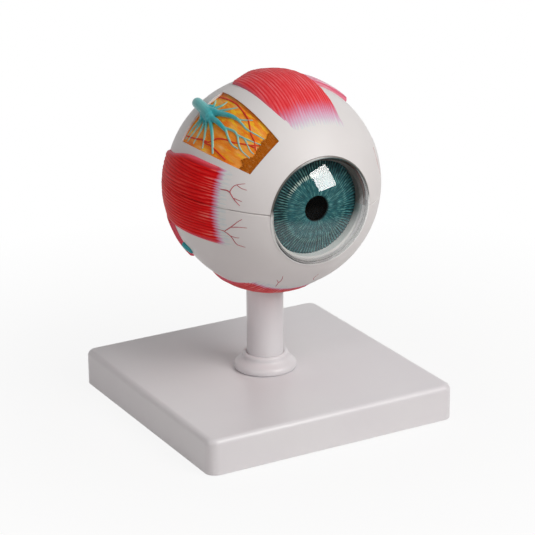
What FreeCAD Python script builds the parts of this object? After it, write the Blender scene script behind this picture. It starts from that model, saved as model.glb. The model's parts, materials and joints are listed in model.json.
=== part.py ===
import FreeCAD, Part
import math
import os

os.makedirs("parts", exist_ok=True)

# Anatomical eye model, five times life size, on a stand. It comes apart as a
# stack: the globe splits at its equator into an upper and a lower half, and
# holds two choroid bowls, a vitreous ball and a lens.
#
# Row frame: millimetres, +Z up, origin on the table under the middle of the
# base. The eye looks along -Y. +X is the nasal side, -X the temporal side.
# The globe's own frame has its origin at the globe's centre, -y forward along
# the optical axis, +x nasal and +z up. Angles on the globe are given as
# (polar, clock): polar counts from the optical axis, clock counts about it
# from the nasal side, with 90 at the top.

# ---------------------------------------------------------------- dimensions
# Base: an open tray with a cross of ribs underneath
base_side = 155.5
base_height = 20.5
base_wall = 3.0
base_top_wall = 3.5
base_corner_radius = 6.0
base_edge_radius = 3.5
rib_thickness = 3.0
rib_height = 12.0
boss_wall = 4.0
foot_radius = 6.0
foot_height = 2.5
foot_proud = 0.8
foot_pad_wall = 2.5
foot_inset = 13.0

# Collar and post
collar_flange_radius = 18.0
collar_flange_height = 6.5
collar_flange_round = 3.2
collar_ring_radius = 13.3
collar_ring_height = 3.2
collar_ring_round = 1.0
collar_sleeve_wall = 1.6
collar_sleeve_depth = 14.0
post_radius = 10.5
post_wall = 3.0
post_solid_foot = 13.0
washer_radius = 13.5
washer_thickness = 1.5
washer_room = 2.0
screw_radius = 2.5
screw_length = 11.0
screw_head_radius = 4.6
screw_head_height = 2.8
screw_head_round = 0.4

# Globe
globe_radius = 60.0
globe_pole_height = 72.0
globe_lean = 5.0
globe_lean_heading = -30.0
sclera_wall = 3.0
seam_chamfer = 0.45
lip_wall = 1.2
lip_step = 0.2
lip_height = 2.5
spigot_length = 30.0
tenon_radius = 4.0

# Cornea
cornea_rim_radius = 30.3
cornea_dome_height = 14.0
cornea_wall = 1.8
cornea_flange_depth = 1.5
cornea_ledge_width = 2.0
opening_chamfer = 0.6

# Choroid, retina, iris and ciliary body
choroid_wall = 2.6
retina_wall = 1.4
retina_front = 26.0
iris_dome_radius = 71.0
iris_radius = 27.3
iris_wall = 2.0
iris_recess = 8.4
pupil_radius = 7.0
limbus_wall = 2.0
limbus_front_gap = 0.8
ciliary_back_wall = 1.4

# Lens and vitreous body
lens_radius = 22.5
lens_rim = 2.0
lens_front_bulge = 7.0
lens_back_bulge = 9.0
lens_grip = 1.5
vitreous_wall = 2.2

# Window in the upper sclera
window_clock = 137.5
panel_wall = 1.2
band_back = 53.0
band_wall = 0.4

# Optic nerve stub
nerve_angle = 15.0
nerve_radius = 8.5
nerve_core_radius = 6.3
nerve_length = 13.0
nerve_core_length = 14.0

# Muscles: thickness of the belly, and of its front edge
superior_belly = 3.4
inferior_belly = 3.1
side_belly = 2.5
oblique_belly = 2.4
muscle_front_edge = 0.6
belly_angle = 100.0
muscle_back = 117.0
post_cutout_gap = 1.3

# Veins
vein_trunk_radius = 3.0
vein_hub_radius = 2.7
vein_branch_radius = 1.1
vein_tip_radius = 0.7
joint_swell = 1.12
vortex_radius = 1.9

# Clearances
slide_gap = 0.3
shell_gap = 0.4
turn_gap = 0.08
groove_gap = 0.15
lip_gap = 0.3

# Outlines of the straight muscles: (sideways offset, polar angle) in order
# round the strip. The offset is along x for the upper and lower muscles and
# along z for the side ones.
superior_outline = [
    (-16.5, 52.5), (-21.5, 70.7), (-23.4, 90.0), (-22.4, 105.0),
    (7.0, muscle_back), (14.0, 87.4), (17.6, 62.4), (18.0, 54.7),
]
inferior_outline = [
    (-25.0, 61.0), (-27.1, 69.4), (-28.4, 79.0), (-28.0, muscle_back),
    (8.0, muscle_back), (13.0, 90.0), (13.5, 60.0),
]
lateral_outline = [
    (21.0, 61.2), (22.0, 85.0), (17.2, 104.0), (15.0, muscle_back),
    (-22.0, muscle_back), (-21.5, 85.0), (-22.2, 59.1),
]
medial_outline = [
    (29.5, 69.5), (30.0, 85.0), (26.5, muscle_back),
    (-22.0, muscle_back), (-22.0, 64.0),
]

# Outlines of the oblique muscles: (polar, clock) at each corner
superior_oblique_outline = [(83.0, 79.0), (99.0, 77.0), (95.0, 51.5), (82.0, 50.5)]
inferior_oblique_outline = [(101.5, -158.0), (115.0, -158.0), (115.0, -132.0), (101.5, -132.0)]

# Corners of the window: (polar, clock from the window's middle).
window_outline = [(47.5, -16.2), (47.5, 14.8), (101.5, 17.8), (101.5, -17.0)]

# Vein tree in the window: its trunk lies over the sclera and dips to the hub.
# Each point is (polar, clock from the window's middle, height over the panel).
trunk_route = [(110.5, -4.0, 3.4), (103.0, -3.0, 3.2), (96.0, -2.0, 1.9), (88.0, -0.5, 0.9)]
branch_routes = [
    [(88.0, -0.5), (74.0, -7.5), (63.0, -7.5), (50.0, -8.5)],
    [(88.0, -0.5), (81.0, 1.5), (72.0, 7.5), (62.0, 9.5), (52.0, 8.5)],
    [(81.0, 1.5), (71.0, 0.5), (59.0, -1.5), (50.0, -2.5)],
    [(88.0, -0.5), (82.0, 7.5), (78.0, 14.5)],
    [(88.0, -0.5), (89.0, 8.5), (88.0, 14.5)],
    [(88.0, -0.5), (95.0, 8.5), (97.0, 14.5)],
    [(88.0, -0.5), (82.0, -9.5), (77.0, -14.0)],
    [(88.0, -0.5), (90.0, -9.5), (91.0, -14.5)],
]

# Vortex vein stubs: start and end of each as (polar, clock)
lower_vortex_stubs = [((90.5, -143.0), (98.0, -145.0)), ((112.0, -38.0), (124.0, -40.0))]
upper_vortex_stubs = [((112.0, 38.0), (124.0, 40.0))]

# ------------------------------------------------------------ derived values
Vector = FreeCAD.Vector
UP = Vector(0, 0, 1)
FRONT = Vector(0, -1, 0)
far = 3 * globe_radius

base_top = foot_proud + base_height
sleeve_radius = post_radius + turn_gap + collar_sleeve_wall
sleeve_bottom = base_top - collar_sleeve_depth
post_bottom = sleeve_bottom - slide_gap
post_bore_radius = post_radius - post_wall
spigot_radius = post_bore_radius - turn_gap

sclera_inner = globe_radius - sclera_wall
lip_radius = sclera_inner + lip_step + lip_wall
choroid_radius = sclera_inner - shell_gap
choroid_inner = choroid_radius - choroid_wall
retina_inner = choroid_inner - retina_wall
vitreous_radius = retina_inner - shell_gap

rim_front = math.sqrt(globe_radius ** 2 - cornea_rim_radius ** 2)
flange_back = rim_front - cornea_flange_depth
dome_radius = (cornea_rim_radius ** 2 + cornea_dome_height ** 2) / (2 * cornea_dome_height)
dome_centre = Vector(0, dome_radius - cornea_dome_height - rim_front, 0)
opening_radius = cornea_rim_radius + slide_gap

iris_seat_radius = iris_radius + limbus_wall
choroid_front = math.sqrt(choroid_radius ** 2 - iris_seat_radius ** 2)
limbus_front = choroid_front - limbus_front_gap + slide_gap
iris_edge = rim_front - iris_recess
iris_offset = math.sqrt(iris_dome_radius ** 2 - iris_radius ** 2) - iris_edge
iris_centre = Vector(0, iris_offset, 0)
iris_back_edge = math.sqrt((iris_dome_radius - iris_wall) ** 2 - iris_radius ** 2) - iris_offset

lens_plane = iris_back_edge - ciliary_back_wall - groove_gap - lens_rim / 2
groove_front = lens_plane + lens_rim / 2 + groove_gap
groove_back = lens_plane - lens_rim / 2 - groove_gap
groove_radius = lens_radius + groove_gap
ciliary_bore_radius = lens_radius - lens_grip
lens_bulge_radius = ciliary_bore_radius - slide_gap
ciliary_back = groove_back - ciliary_back_wall
vitreous_front = lens_plane - lens_rim / 2 - lens_back_bulge - shell_gap

panel_radius = sclera_inner + panel_wall
lean_axis = FreeCAD.Rotation(UP, globe_lean_heading + 90).multVec(Vector(1, 0, 0))
lean = FreeCAD.Rotation(lean_axis, globe_lean)
globe_centre = Vector(0, 0, globe_pole_height) + lean.multVec(UP) * globe_radius
globe_placement = FreeCAD.Placement(globe_centre, lean)

nodes = {}


# -------------------------------------------------------------- small helpers
def ball(radius, centre=Vector(0, 0, 0)):
    """Solid ball."""
    return Part.makeSphere(radius, centre)


def post_cylinder(radius, bottom, top, x=0.0, y=0.0):
    """Upright cylinder in the row frame."""
    return Part.makeCylinder(radius, top - bottom, Vector(x, y, bottom))


def front_cylinder(radius, back, front):
    """Cylinder about the optical axis, between two distances forward."""
    return Part.makeCylinder(radius, front - back, Vector(0, -back, 0), FRONT)


def block(x, y, z):
    """Box between two limits along each axis."""
    return Part.makeBox(x[1] - x[0], y[1] - y[0], z[1] - z[0], Vector(x[0], y[0], z[0]))


def fuse_all(shapes):
    """Union of a list of solids, with seam lines between them removed."""
    union = shapes[0]
    if len(shapes) > 1:
        union = union.multiFuse(shapes[1:])
    return union.removeSplitter()


def direction(polar, clock):
    """Unit vector in the globe's frame from a polar and a clock angle."""
    polar = math.radians(polar)
    clock = math.radians(clock)
    return Vector(
        math.sin(polar) * math.cos(clock),
        -math.cos(polar),
        math.sin(polar) * math.sin(clock),
    )


def half(shape, side):
    """Part of a shape above (side 1) or below (side -1) the globe's seam."""
    near = slide_gap / 2 * side
    z = sorted((near, far * side))
    return shape.common(block((-far, far), (-far, far), z))


def on_stand(shape):
    """Move a shape from the globe's frame to its place on the stand."""
    placed = shape.copy()
    placed.Placement = globe_placement.multiply(placed.Placement)
    return placed


def from_stand(shape):
    """Move a shape from the row frame into the globe's frame."""
    moved = shape.copy()
    moved.Placement = globe_placement.inverse().multiply(moved.Placement)
    return moved


# ----------------------------------------------------------------------- base
def foot_places():
    """Centres of the four feet."""
    reach = base_side / 2 - foot_inset
    return [(x, y) for x in (-reach, reach) for y in (-reach, reach)]


def base_plate():
    """Open tray with rounded edges, a rib cross, a boss and four foot pads."""
    reach = base_side / 2
    bottom = foot_proud
    outer = block((-reach, reach), (-reach, reach), (bottom, base_top))
    upright = [edge for edge in outer.Edges if edge.BoundBox.ZLength > base_height / 2]
    outer = outer.makeFillet(base_corner_radius, upright)
    rim = [edge for edge in outer.Edges if edge.BoundBox.ZMin > base_top - 0.01]
    outer = outer.makeFillet(base_edge_radius, rim)

    inner_reach = reach - base_wall
    ceiling = base_top - base_top_wall
    hollow = block((-inner_reach, inner_reach), (-inner_reach, inner_reach), (bottom, ceiling))
    tray = outer.cut(hollow)

    web = rib_thickness / 2
    z = (ceiling - rib_height, ceiling)
    inside = [
        block((-inner_reach, inner_reach), (-web, web), z),
        block((-web, web), (-inner_reach, inner_reach), z),
        post_cylinder(sleeve_radius + boss_wall, sleeve_bottom, ceiling),
    ]
    pad_radius = foot_radius + foot_pad_wall
    for x, y in foot_places():
        inside.append(post_cylinder(pad_radius, bottom, ceiling, x, y))
    tray = fuse_all([tray] + [piece.common(outer) for piece in inside])

    tray = tray.cut(post_cylinder(sleeve_radius, 0, far))
    tray = tray.cut(post_cylinder(washer_radius + washer_room, 0, sleeve_bottom))
    for x, y in foot_places():
        tray = tray.cut(post_cylinder(foot_radius, 0, foot_height, x, y))
    return tray


def rubber_feet():
    """Four round feet let into the pads."""
    feet = [post_cylinder(foot_radius, 0, foot_height, x, y) for x, y in foot_places()]
    return Part.makeCompound(feet)


def rounded_disc(radius, bottom, top, rounding):
    """Disc whose upper edge is rounded."""
    disc = post_cylinder(radius, bottom, top)
    upper = [edge for edge in disc.Edges if edge.BoundBox.ZMin > top - 0.01]
    return disc.makeFillet(rounding, upper)


def post_collar():
    """Flanged bush that the post turns in."""
    flange_top = base_top + collar_flange_height
    collar = fuse_all([
        rounded_disc(collar_flange_radius, base_top, flange_top, collar_flange_round),
        rounded_disc(collar_ring_radius, base_top, flange_top + collar_ring_height, collar_ring_round),
        post_cylinder(sleeve_radius, sleeve_bottom, base_top),
    ])
    return collar.cut(post_cylinder(post_radius + turn_gap, 0, far))


def post():
    """Tube with a solid foot; its top is dished to the globe."""
    post_top = globe_pole_height + sclera_wall
    tube = post_cylinder(post_radius, post_bottom, post_top)
    bore = post_cylinder(post_bore_radius, post_bottom + post_solid_foot, post_top)
    screw_hole = post_cylinder(screw_radius, post_bottom, post_bottom + screw_length)
    return tube.cut(bore).cut(screw_hole).cut(ball(globe_radius + slide_gap, globe_centre))


def post_washer():
    """Washer that keeps the post down in its collar."""
    washer = post_cylinder(washer_radius, post_bottom - washer_thickness, post_bottom)
    return washer.cut(post_cylinder(screw_radius, 0, post_bottom))


def post_screw():
    """Pan-head screw up into the foot of the post."""
    head_top = post_bottom - washer_thickness
    head = rounded_disc(screw_head_radius, head_top - screw_head_height, head_top, screw_head_round)
    shank = post_cylinder(screw_radius, head_top - screw_head_height / 2, post_bottom + screw_length)
    return fuse_all([head, shank])


# --------------------------------------------------------------------- sclera
def pyramid(outline):
    """Solid between four planes through the globe's centre, from its (polar, clock) corners."""
    corners = [direction(polar, clock) * (2 * globe_radius) for polar, clock in outline]
    centre = Vector(0, 0, 0)
    faces = [Part.Face(Part.makePolygon(corners[:3] + corners[:1]))]
    faces.append(Part.Face(Part.makePolygon([corners[0], corners[2], corners[3], corners[0]])))
    for first, second in zip(corners, corners[1:] + corners[:1]):
        faces.append(Part.Face(Part.makePolygon([centre, first, second, centre])))
    return Part.makeSolid(Part.makeShell(faces))


def window_opening():
    """Wedge that cuts the window."""
    return pyramid([(polar, window_clock + offset) for polar, offset in window_outline])


def window_shell(inner, outer):
    """Curved plate that fills the window between two radii."""
    return ball(outer).cut(ball(inner)).common(window_opening())


def sclera_shell():
    """Whole white shell with the cornea opening and the nerve canal."""
    shell = ball(globe_radius).cut(ball(sclera_inner))
    shell = shell.cut(front_cylinder(opening_radius, 0, far))
    chamfer = Part.makeCone(
        opening_radius, opening_radius + 2 * opening_chamfer, 2 * opening_chamfer,
        Vector(0, opening_chamfer - math.sqrt(globe_radius ** 2 - opening_radius ** 2), 0), FRONT,
    )
    shell = shell.cut(chamfer)
    return shell.cut(nerve_rod(nerve_core_radius, 0, far))


def nerve_rod(radius, back, front):
    """Cylinder along the optic nerve, between two distances from the centre."""
    angle = math.radians(nerve_angle)
    along = Vector(math.sin(angle), math.cos(angle), 0)
    return Part.makeCylinder(radius, front - back, along * back, along)


def seam_groove(side):
    """Cutter for the small chamfer along the outer edge of one half's seam face."""
    near = slide_gap / 2 * side
    inner = Part.makeCone(
        globe_radius - seam_chamfer, globe_radius, seam_chamfer,
        Vector(0, 0, near), Vector(0, 0, side),
    )
    outer = Part.makeCylinder(2 * globe_radius, seam_chamfer, Vector(0, 0, near), Vector(0, 0, side))
    return outer.cut(inner)


def sclera_lower():
    """Lower half: raised lip inside the seam, and a ledge for the cornea."""
    shell = half(sclera_shell(), -1).cut(seam_groove(-1))
    lip_root = Vector(0, 0, -sclera_wall / 2)
    lip = Part.makeCylinder(lip_radius, lip_height + sclera_wall / 2, lip_root)
    lip = lip.cut(Part.makeCylinder(lip_radius - lip_wall, lip_height + sclera_wall / 2, lip_root))
    lip = lip.cut(front_cylinder(opening_radius + sclera_wall, 0, far))
    lip = lip.cut(nerve_rod(nerve_radius, 0, far))

    ledge = front_cylinder(opening_radius + sclera_wall / 2, choroid_front + slide_gap, flange_back)
    ledge = ledge.cut(front_cylinder(cornea_rim_radius - cornea_ledge_width, 0, far))
    ledge = half(ledge.common(ball(globe_radius - sclera_wall / 4)), -1)
    lower = fuse_all([shell, lip, ledge])
    return lower.cut(from_stand(post_cylinder(tenon_radius, 0, globe_centre.z)))


def sclera_upper():
    """Upper half: recess for the lip, and the window."""
    shell = half(sclera_shell(), 1).cut(seam_groove(1))
    shell = shell.cut(Part.makeCylinder(lip_radius + lip_gap, lip_height + lip_gap))
    return shell.cut(window_opening())


def cornea():
    """Clear dome with a short flange."""
    dome = ball(dome_radius, dome_centre).common(front_cylinder(cornea_rim_radius, rim_front, far))
    flange = front_cylinder(cornea_rim_radius, flange_back, rim_front)
    return fuse_all([dome, flange]).cut(ball(dome_radius - cornea_wall, dome_centre))


def globe_spigot():
    """Peg under the globe, with a tenon through the sclera, in the row frame."""
    peg = post_cylinder(spigot_radius, globe_pole_height - spigot_length, globe_pole_height + sclera_wall)
    peg = peg.cut(ball(globe_radius, globe_centre))
    tenon = post_cylinder(tenon_radius, globe_pole_height - sclera_wall, globe_pole_height + 2 * sclera_wall)
    tenon = tenon.cut(ball(sclera_inner, globe_centre))
    return fuse_all([peg, tenon])


# -------------------------------------------------------------------- muscles
def belly(thickness, toward, front_polar):
    """Ball set back towards the belly, so a muscle on it thins to its front edge."""
    fall = 1 - math.cos(math.radians(belly_angle - front_polar))
    shift = (thickness - muscle_front_edge) / fall
    return ball(globe_radius + thickness - shift, toward * shift)


def strip_prism(outline, place, span):
    """Prism over a strip outline; place turns (offset, forward) into a point."""
    corners = []
    for offset, polar in outline:
        forward = globe_radius * math.cos(math.radians(polar))
        corners.append(place(offset, forward))
    face = Part.Face(Part.makePolygon(corners + corners[:1]))
    return face.extrude(span)


def straight_muscle(outline, thickness, clock):
    """Straight muscle that lies on the globe at one of the four clock angles."""
    out = direction(90, clock)
    across = Vector(0, 0, 1) if abs(out.z) < 0.5 else Vector(1, 0, 0)

    def place(offset, forward):
        return across * offset + FRONT * forward

    prism = strip_prism(outline, place, out * far)
    front_polar = min(polar for offset, polar in outline)
    lump = belly(thickness, direction(belly_angle, clock), front_polar)
    return lump.common(prism).cut(ball(globe_radius))


def oblique_muscle(outline):
    """Short oblique muscle cut off by four planes through the globe's centre."""
    return ball(globe_radius + oblique_belly).common(pyramid(outline)).cut(ball(globe_radius))


# ------------------------------------------------ choroid, iris, ciliary body
def choroid_half(side):
    """Half bowl round the contents of the globe, open in front for the iris."""
    bowl = ball(choroid_radius).cut(ball(choroid_inner))
    return half(bowl.cut(front_cylinder(iris_seat_radius, 0, far)), side)


def retina_half(side):
    """Lining of a choroid half, as far forward as the retina reaches."""
    lining = ball(choroid_inner).cut(ball(retina_inner))
    return half(lining.cut(front_cylinder(far, retina_front, far)), side)


def iris_half(side):
    """Half of the domed iris, with half of the pupil."""
    dome = ball(iris_dome_radius, iris_centre).cut(ball(iris_dome_radius - iris_wall, iris_centre))
    dome = dome.common(front_cylinder(iris_radius, 0, far))
    return half(dome.cut(front_cylinder(pupil_radius, 0, far)), side)


def ciliary_half(side):
    """Half ring that carries the iris in front and grips the lens behind."""
    web = front_cylinder(far, ciliary_back, iris_back_edge).common(ball(choroid_inner))
    wall = front_cylinder(iris_seat_radius, ciliary_back, limbus_front)
    ring = fuse_all([web, wall])
    ring = ring.cut(front_cylinder(iris_radius, iris_back_edge, far))
    ring = ring.cut(front_cylinder(ciliary_bore_radius, 0, far))
    ring = ring.cut(front_cylinder(groove_radius, groove_back, groove_front))
    return half(ring, side)


# ---------------------------------------------------------- lens and vitreous
def lens():
    """Biconvex lens with a straight rim."""
    rim_back = lens_plane - lens_rim / 2
    rim_front_face = lens_plane + lens_rim / 2

    def bulge(height, rim, sign):
        radius = (lens_bulge_radius ** 2 + height ** 2) / (2 * height)
        centre = Vector(0, -(rim - sign * (radius - height)), 0)
        reach = sorted((rim, rim + sign * height * 2))
        return ball(radius, centre).common(front_cylinder(lens_bulge_radius, reach[0], reach[1]))

    return fuse_all([
        front_cylinder(lens_radius, rim_back, rim_front_face),
        bulge(lens_front_bulge, rim_front_face, 1),
        bulge(lens_back_bulge, rim_back, -1),
    ])


def vitreous_body():
    """Hollow clear ball with a flat front behind the lens."""
    solid = ball(vitreous_radius).cut(front_cylinder(far, vitreous_front, far))
    cavity = ball(vitreous_radius - vitreous_wall)
    return solid.cut(cavity.cut(front_cylinder(far, vitreous_front - vitreous_wall, far)))


# ---------------------------------------------------------------------- veins
def tube(points, radii):
    """Jointed tube through points: straight runs with a slightly fatter ball at each joint."""
    pieces = [ball(radius * joint_swell, point) for point, radius in zip(points, radii)]
    for index in range(len(points) - 1):
        run = points[index + 1] - points[index]
        radius = (radii[index] + radii[index + 1]) / 2
        pieces.append(Part.makeCylinder(radius, run.Length, points[index], run))
    return fuse_all(pieces)


def taper(start, end, count):
    """Evenly spaced radii from start to end."""
    step = (end - start) / (count - 1)
    return [start + step * index for index in range(count)]


def vortex_vein_tree(seats):
    """Trunk and branches in the window, resting on what lies under them."""
    trunk = []
    for polar, offset, height in trunk_route:
        trunk.append(direction(polar, window_clock + offset) * (panel_radius + height))
    tree = tube(trunk, taper(vein_trunk_radius, vein_hub_radius, len(trunk)))
    branch_height = panel_radius + vein_tip_radius / 2
    for route in branch_routes:
        points = [direction(polar, window_clock + offset) * branch_height for polar, offset in route]
        branch = tube(points, taper(vein_branch_radius, vein_tip_radius, len(points)))
        tree = tree.fuse(branch)
    tree = tree.cut(ball(panel_radius))
    for seat in seats:
        tree = tree.cut(seat)
    return max(tree.Solids, key=lambda solid: solid.Volume)


def vortex_stubs(stubs):
    """Short vein stubs that rise out of the sclera and lie back on it."""
    veins = []
    for start, end in stubs:
        root = direction(*start) * (globe_radius - vortex_radius / 3)
        tip = direction(*end) * (globe_radius + vortex_radius / 2)
        veins.append(tube([root, tip], [vortex_radius, vortex_radius]).cut(ball(globe_radius)))
    return Part.makeCompound(veins)


# -------------------------------------------------------------- optic nerve
def optic_nerve_half(side):
    """Half of the nerve's sheath, seated on the sclera."""
    sheath = nerve_rod(nerve_radius, sclera_inner, globe_radius + nerve_length)
    sheath = sheath.cut(nerve_rod(nerve_core_radius, 0, far)).cut(ball(globe_radius))
    return half(sheath, side)


def nerve_core_half(side):
    """Half of the nerve itself, through the sclera to its inner face."""
    core = nerve_rod(nerve_core_radius, sclera_inner / 2, globe_radius + nerve_core_length)
    return half(core.cut(ball(sclera_inner)), side)


# ------------------------------------------------------------------- assembly
def build_stand():
    """Nodes in the row frame that carry the globe."""
    nodes["base_plate"] = base_plate()
    nodes["rubber_feet"] = rubber_feet()
    nodes["post_collar"] = post_collar()
    nodes["post"] = post()
    nodes["post_washer"] = post_washer()
    nodes["post_screw"] = post_screw()
    nodes["globe_spigot"] = globe_spigot()


def build_lower_globe():
    """Lower half of the globe and what is fixed to it."""
    post_hole = from_stand(post_cylinder(post_radius + post_cutout_gap, 0, globe_centre.z))
    nodes["sclera_lower"] = on_stand(sclera_lower())
    nodes["cornea"] = on_stand(cornea())
    inferior = straight_muscle(inferior_outline, inferior_belly, -90).cut(post_hole)
    nodes["inferior_rectus"] = on_stand(inferior)
    oblique = oblique_muscle(inferior_oblique_outline)
    lateral = straight_muscle(lateral_outline, side_belly, 180)
    nodes["inferior_oblique"] = on_stand(oblique.cut(lateral).cut(inferior))
    nodes["vortex_veins_lower"] = on_stand(vortex_stubs(lower_vortex_stubs))


def build_upper_globe():
    """Upper half of the globe and what is fixed to it."""
    shell = sclera_upper()
    superior = straight_muscle(superior_outline, superior_belly, 90)
    panel = window_shell(sclera_inner, panel_radius)
    band_plane = panel_radius * math.cos(math.radians(band_back))
    band = window_shell(panel_radius, panel_radius + band_wall)
    band = band.common(front_cylinder(far, band_plane, far))
    nodes["sclera_upper"] = on_stand(shell)
    nodes["superior_rectus"] = on_stand(superior)
    nodes["superior_oblique"] = on_stand(oblique_muscle(superior_oblique_outline).cut(superior))
    nodes["window_panel"] = on_stand(panel)
    nodes["window_ciliary_band"] = on_stand(band)
    nodes["vortex_vein_tree"] = on_stand(vortex_vein_tree([shell, band]))
    nodes["vortex_vein_upper"] = on_stand(vortex_stubs(upper_vortex_stubs))


def build_halves():
    """Pieces that come as a lower and an upper half."""
    lateral = straight_muscle(lateral_outline, side_belly, 180)
    medial = straight_muscle(medial_outline, side_belly, 0)
    for name, side in (("lower", -1), ("upper", 1)):
        nodes["lateral_rectus_" + name] = on_stand(half(lateral, side))
        nodes["medial_rectus_" + name] = on_stand(half(medial, side))
        nodes["optic_nerve_sheath_" + name] = on_stand(optic_nerve_half(side))
        nodes["optic_nerve_core_" + name] = on_stand(nerve_core_half(side))
        nodes["choroid_" + name] = on_stand(choroid_half(side))
        nodes["retina_" + name] = on_stand(retina_half(side))
        nodes["iris_" + name] = on_stand(iris_half(side))
        nodes["ciliary_body_" + name] = on_stand(ciliary_half(side))


build_stand()
build_lower_globe()
build_upper_globe()
build_halves()
nodes["lens"] = on_stand(lens())
nodes["vitreous_body"] = on_stand(vitreous_body())

for name, shape in nodes.items():
    shape.exportStep("parts/" + name + ".step")
    print(name, len(shape.Solids), shape.isValid(), round(shape.Volume))
print("globe centre", globe_centre, "rim front", round(rim_front, 2))
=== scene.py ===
# %% [markdown]
# # A teaching model of the eye, dressed in Blender
# This lesson takes the bare solids of an anatomical eye model and gives them
# their looks: satin plastic, painted muscle fibres, a ribbed iris under a clear
# dome, and the painted veins and arteries of the window in its side.
#
# The solids come ready packed. Each one is a named node that hangs on a body,
# and a body is what one joint moves. We never move a node. We give it a better
# material, or we model a finer piece that stands in for it.

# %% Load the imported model
import json
import math

import bpy
from mathutils import Matrix, Vector, noise


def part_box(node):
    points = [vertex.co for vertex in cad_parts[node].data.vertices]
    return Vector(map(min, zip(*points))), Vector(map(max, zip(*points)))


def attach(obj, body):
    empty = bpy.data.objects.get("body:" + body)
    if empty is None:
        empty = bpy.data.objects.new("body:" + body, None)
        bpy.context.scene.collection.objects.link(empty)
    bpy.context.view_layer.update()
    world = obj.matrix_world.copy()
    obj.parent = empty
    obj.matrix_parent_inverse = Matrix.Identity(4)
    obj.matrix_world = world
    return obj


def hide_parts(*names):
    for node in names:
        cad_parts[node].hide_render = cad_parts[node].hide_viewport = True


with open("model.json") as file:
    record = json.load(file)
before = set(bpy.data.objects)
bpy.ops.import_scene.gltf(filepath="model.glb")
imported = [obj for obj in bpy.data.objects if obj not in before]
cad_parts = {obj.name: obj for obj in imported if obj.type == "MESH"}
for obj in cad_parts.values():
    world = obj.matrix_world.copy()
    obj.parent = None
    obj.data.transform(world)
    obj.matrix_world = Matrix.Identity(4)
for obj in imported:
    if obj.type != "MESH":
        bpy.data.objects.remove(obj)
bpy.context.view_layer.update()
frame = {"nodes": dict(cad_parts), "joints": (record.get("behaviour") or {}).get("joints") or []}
nodes = frame["nodes"]

# %% [markdown]
# ## A frame for the globe
# Nearly everything here lies on a ball that leans a few degrees. It is far
# easier to think in the ball's own frame: millimetres, -y the way the eye looks,
# +x towards the nose, +z up. A place on the ball is two angles. *Polar* counts
# from the optical axis and *clock* counts about it, with 90 at the top.
# The lean comes from the joint that lifts the upper half off, because that joint
# slides along the globe's own upright axis.

# %% The globe's frame
MM = 0.001
GLOBE_RADIUS = 60.0
POLE_HEIGHT = 72.0

lid_joint = next(joint for joint in frame["joints"] if joint["name"] == "sclera_lid_lift")
globe_up = Vector(lid_joint["axis"]).normalized()
globe_turn = Vector((0, 0, 1)).rotation_difference(globe_up).to_matrix()
globe_centre = Vector((0, 0, POLE_HEIGHT)) + globe_up * GLOBE_RADIUS
centre_in_row = globe_centre * MM


def to_row(point):
    """A point of the globe's frame, in mm, as a point of the row frame, in metres."""
    return (globe_centre + globe_turn @ Vector(point)) * MM


def direction(polar, clock):
    """Unit vector in the globe's frame from the two angles, in degrees."""
    polar = math.radians(polar)
    clock = math.radians(clock)
    return Vector((
        math.sin(polar) * math.cos(clock),
        -math.cos(polar),
        math.sin(polar) * math.sin(clock),
    ))


print("globe centre (mm):", tuple(round(value, 2) for value in globe_centre))

# %% [markdown]
# ## Making a piece
# A piece is a mesh object with smooth shading, a material and the body it rides
# on. One function does all of it, so that no piece can be forgotten by its body.

# %% Helpers for meshes
def add_object(name, data):
    """Put an object that shows this data into the scene."""
    item = bpy.data.objects.new(name, data)
    bpy.context.scene.collection.objects.link(item)
    return item


def make_piece(name, points, faces, body, slot, material, strand=None, ridge=None, replaces=()):
    """Build a smooth mesh from points in the globe's frame and hang it on a body."""
    mesh = bpy.data.meshes.new(name)
    mesh.from_pydata([to_row(point) for point in points], [], faces)
    mesh.shade_smooth()
    layers = (("strand", "FLOAT_VECTOR", "vector", strand), ("ridge", "FLOAT", "value", ridge))
    for layer_name, kind, field, values in layers:
        if values:
            layer = mesh.attributes.new(layer_name, kind, "POINT")
            for item, value in zip(layer.data, values):
                setattr(item, field, value)
    piece = add_object(name, mesh)
    mesh.materials.append(material)
    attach(piece, body)
    if replaces:
        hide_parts(*replaces)
    print(f"{name}: {len(mesh.vertices)} points, {len(mesh.polygons)} faces, on {body}")
    return piece


def grid_faces(rows, columns, start=0, flip=False, closed=False):
    """Quads between neighbouring points of a grid that is stored row by row."""
    faces = []
    last = columns if closed else columns - 1
    for row in range(rows - 1):
        for column in range(last):
            a = start + row * columns + column
            b = start + row * columns + (column + 1) % columns
            quad = (a, b, b + columns, a + columns)
            faces.append(quad[::-1] if flip else quad)
    return faces


def sheet_faces(rows, columns, inside_out=False):
    """Closed sheet: a front grid, a back grid stored after it, and the rim between the two."""
    border = list(range(columns))
    border += [row * columns + columns - 1 for row in range(1, rows)]
    border += [(rows - 1) * columns + column for column in range(columns - 2, -1, -1)]
    border += [row * columns for row in range(rows - 2, 0, -1)]
    back = rows * columns
    faces = grid_faces(rows, columns, flip=True) + grid_faces(rows, columns, start=back)
    for here, there in zip(border, border[1:] + border[:1]):
        faces.append((there, here, here + back, there + back))
    return [face[::-1] for face in faces] if inside_out else faces


def tube_faces(rings, sides, start=0, flip=False):
    """Tube of closed rings with a flat cap on each end."""
    last = start + (rings - 1) * sides
    caps = [tuple(range(start, start + sides)), tuple(range(last, last + sides))[::-1]]
    if not flip:
        caps = [cap[::-1] for cap in caps]
    return grid_faces(rings, sides, start, flip, closed=True) + caps


def around(count):
    """Evenly spaced angles once round, in radians."""
    return [2 * math.pi * turn / count for turn in range(count)]


def smooth_step(value):
    """0 below 0, 1 above 1, and an even S between."""
    value = min(max(value, 0.0), 1.0)
    return value * value * (3 - 2 * value)


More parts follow.
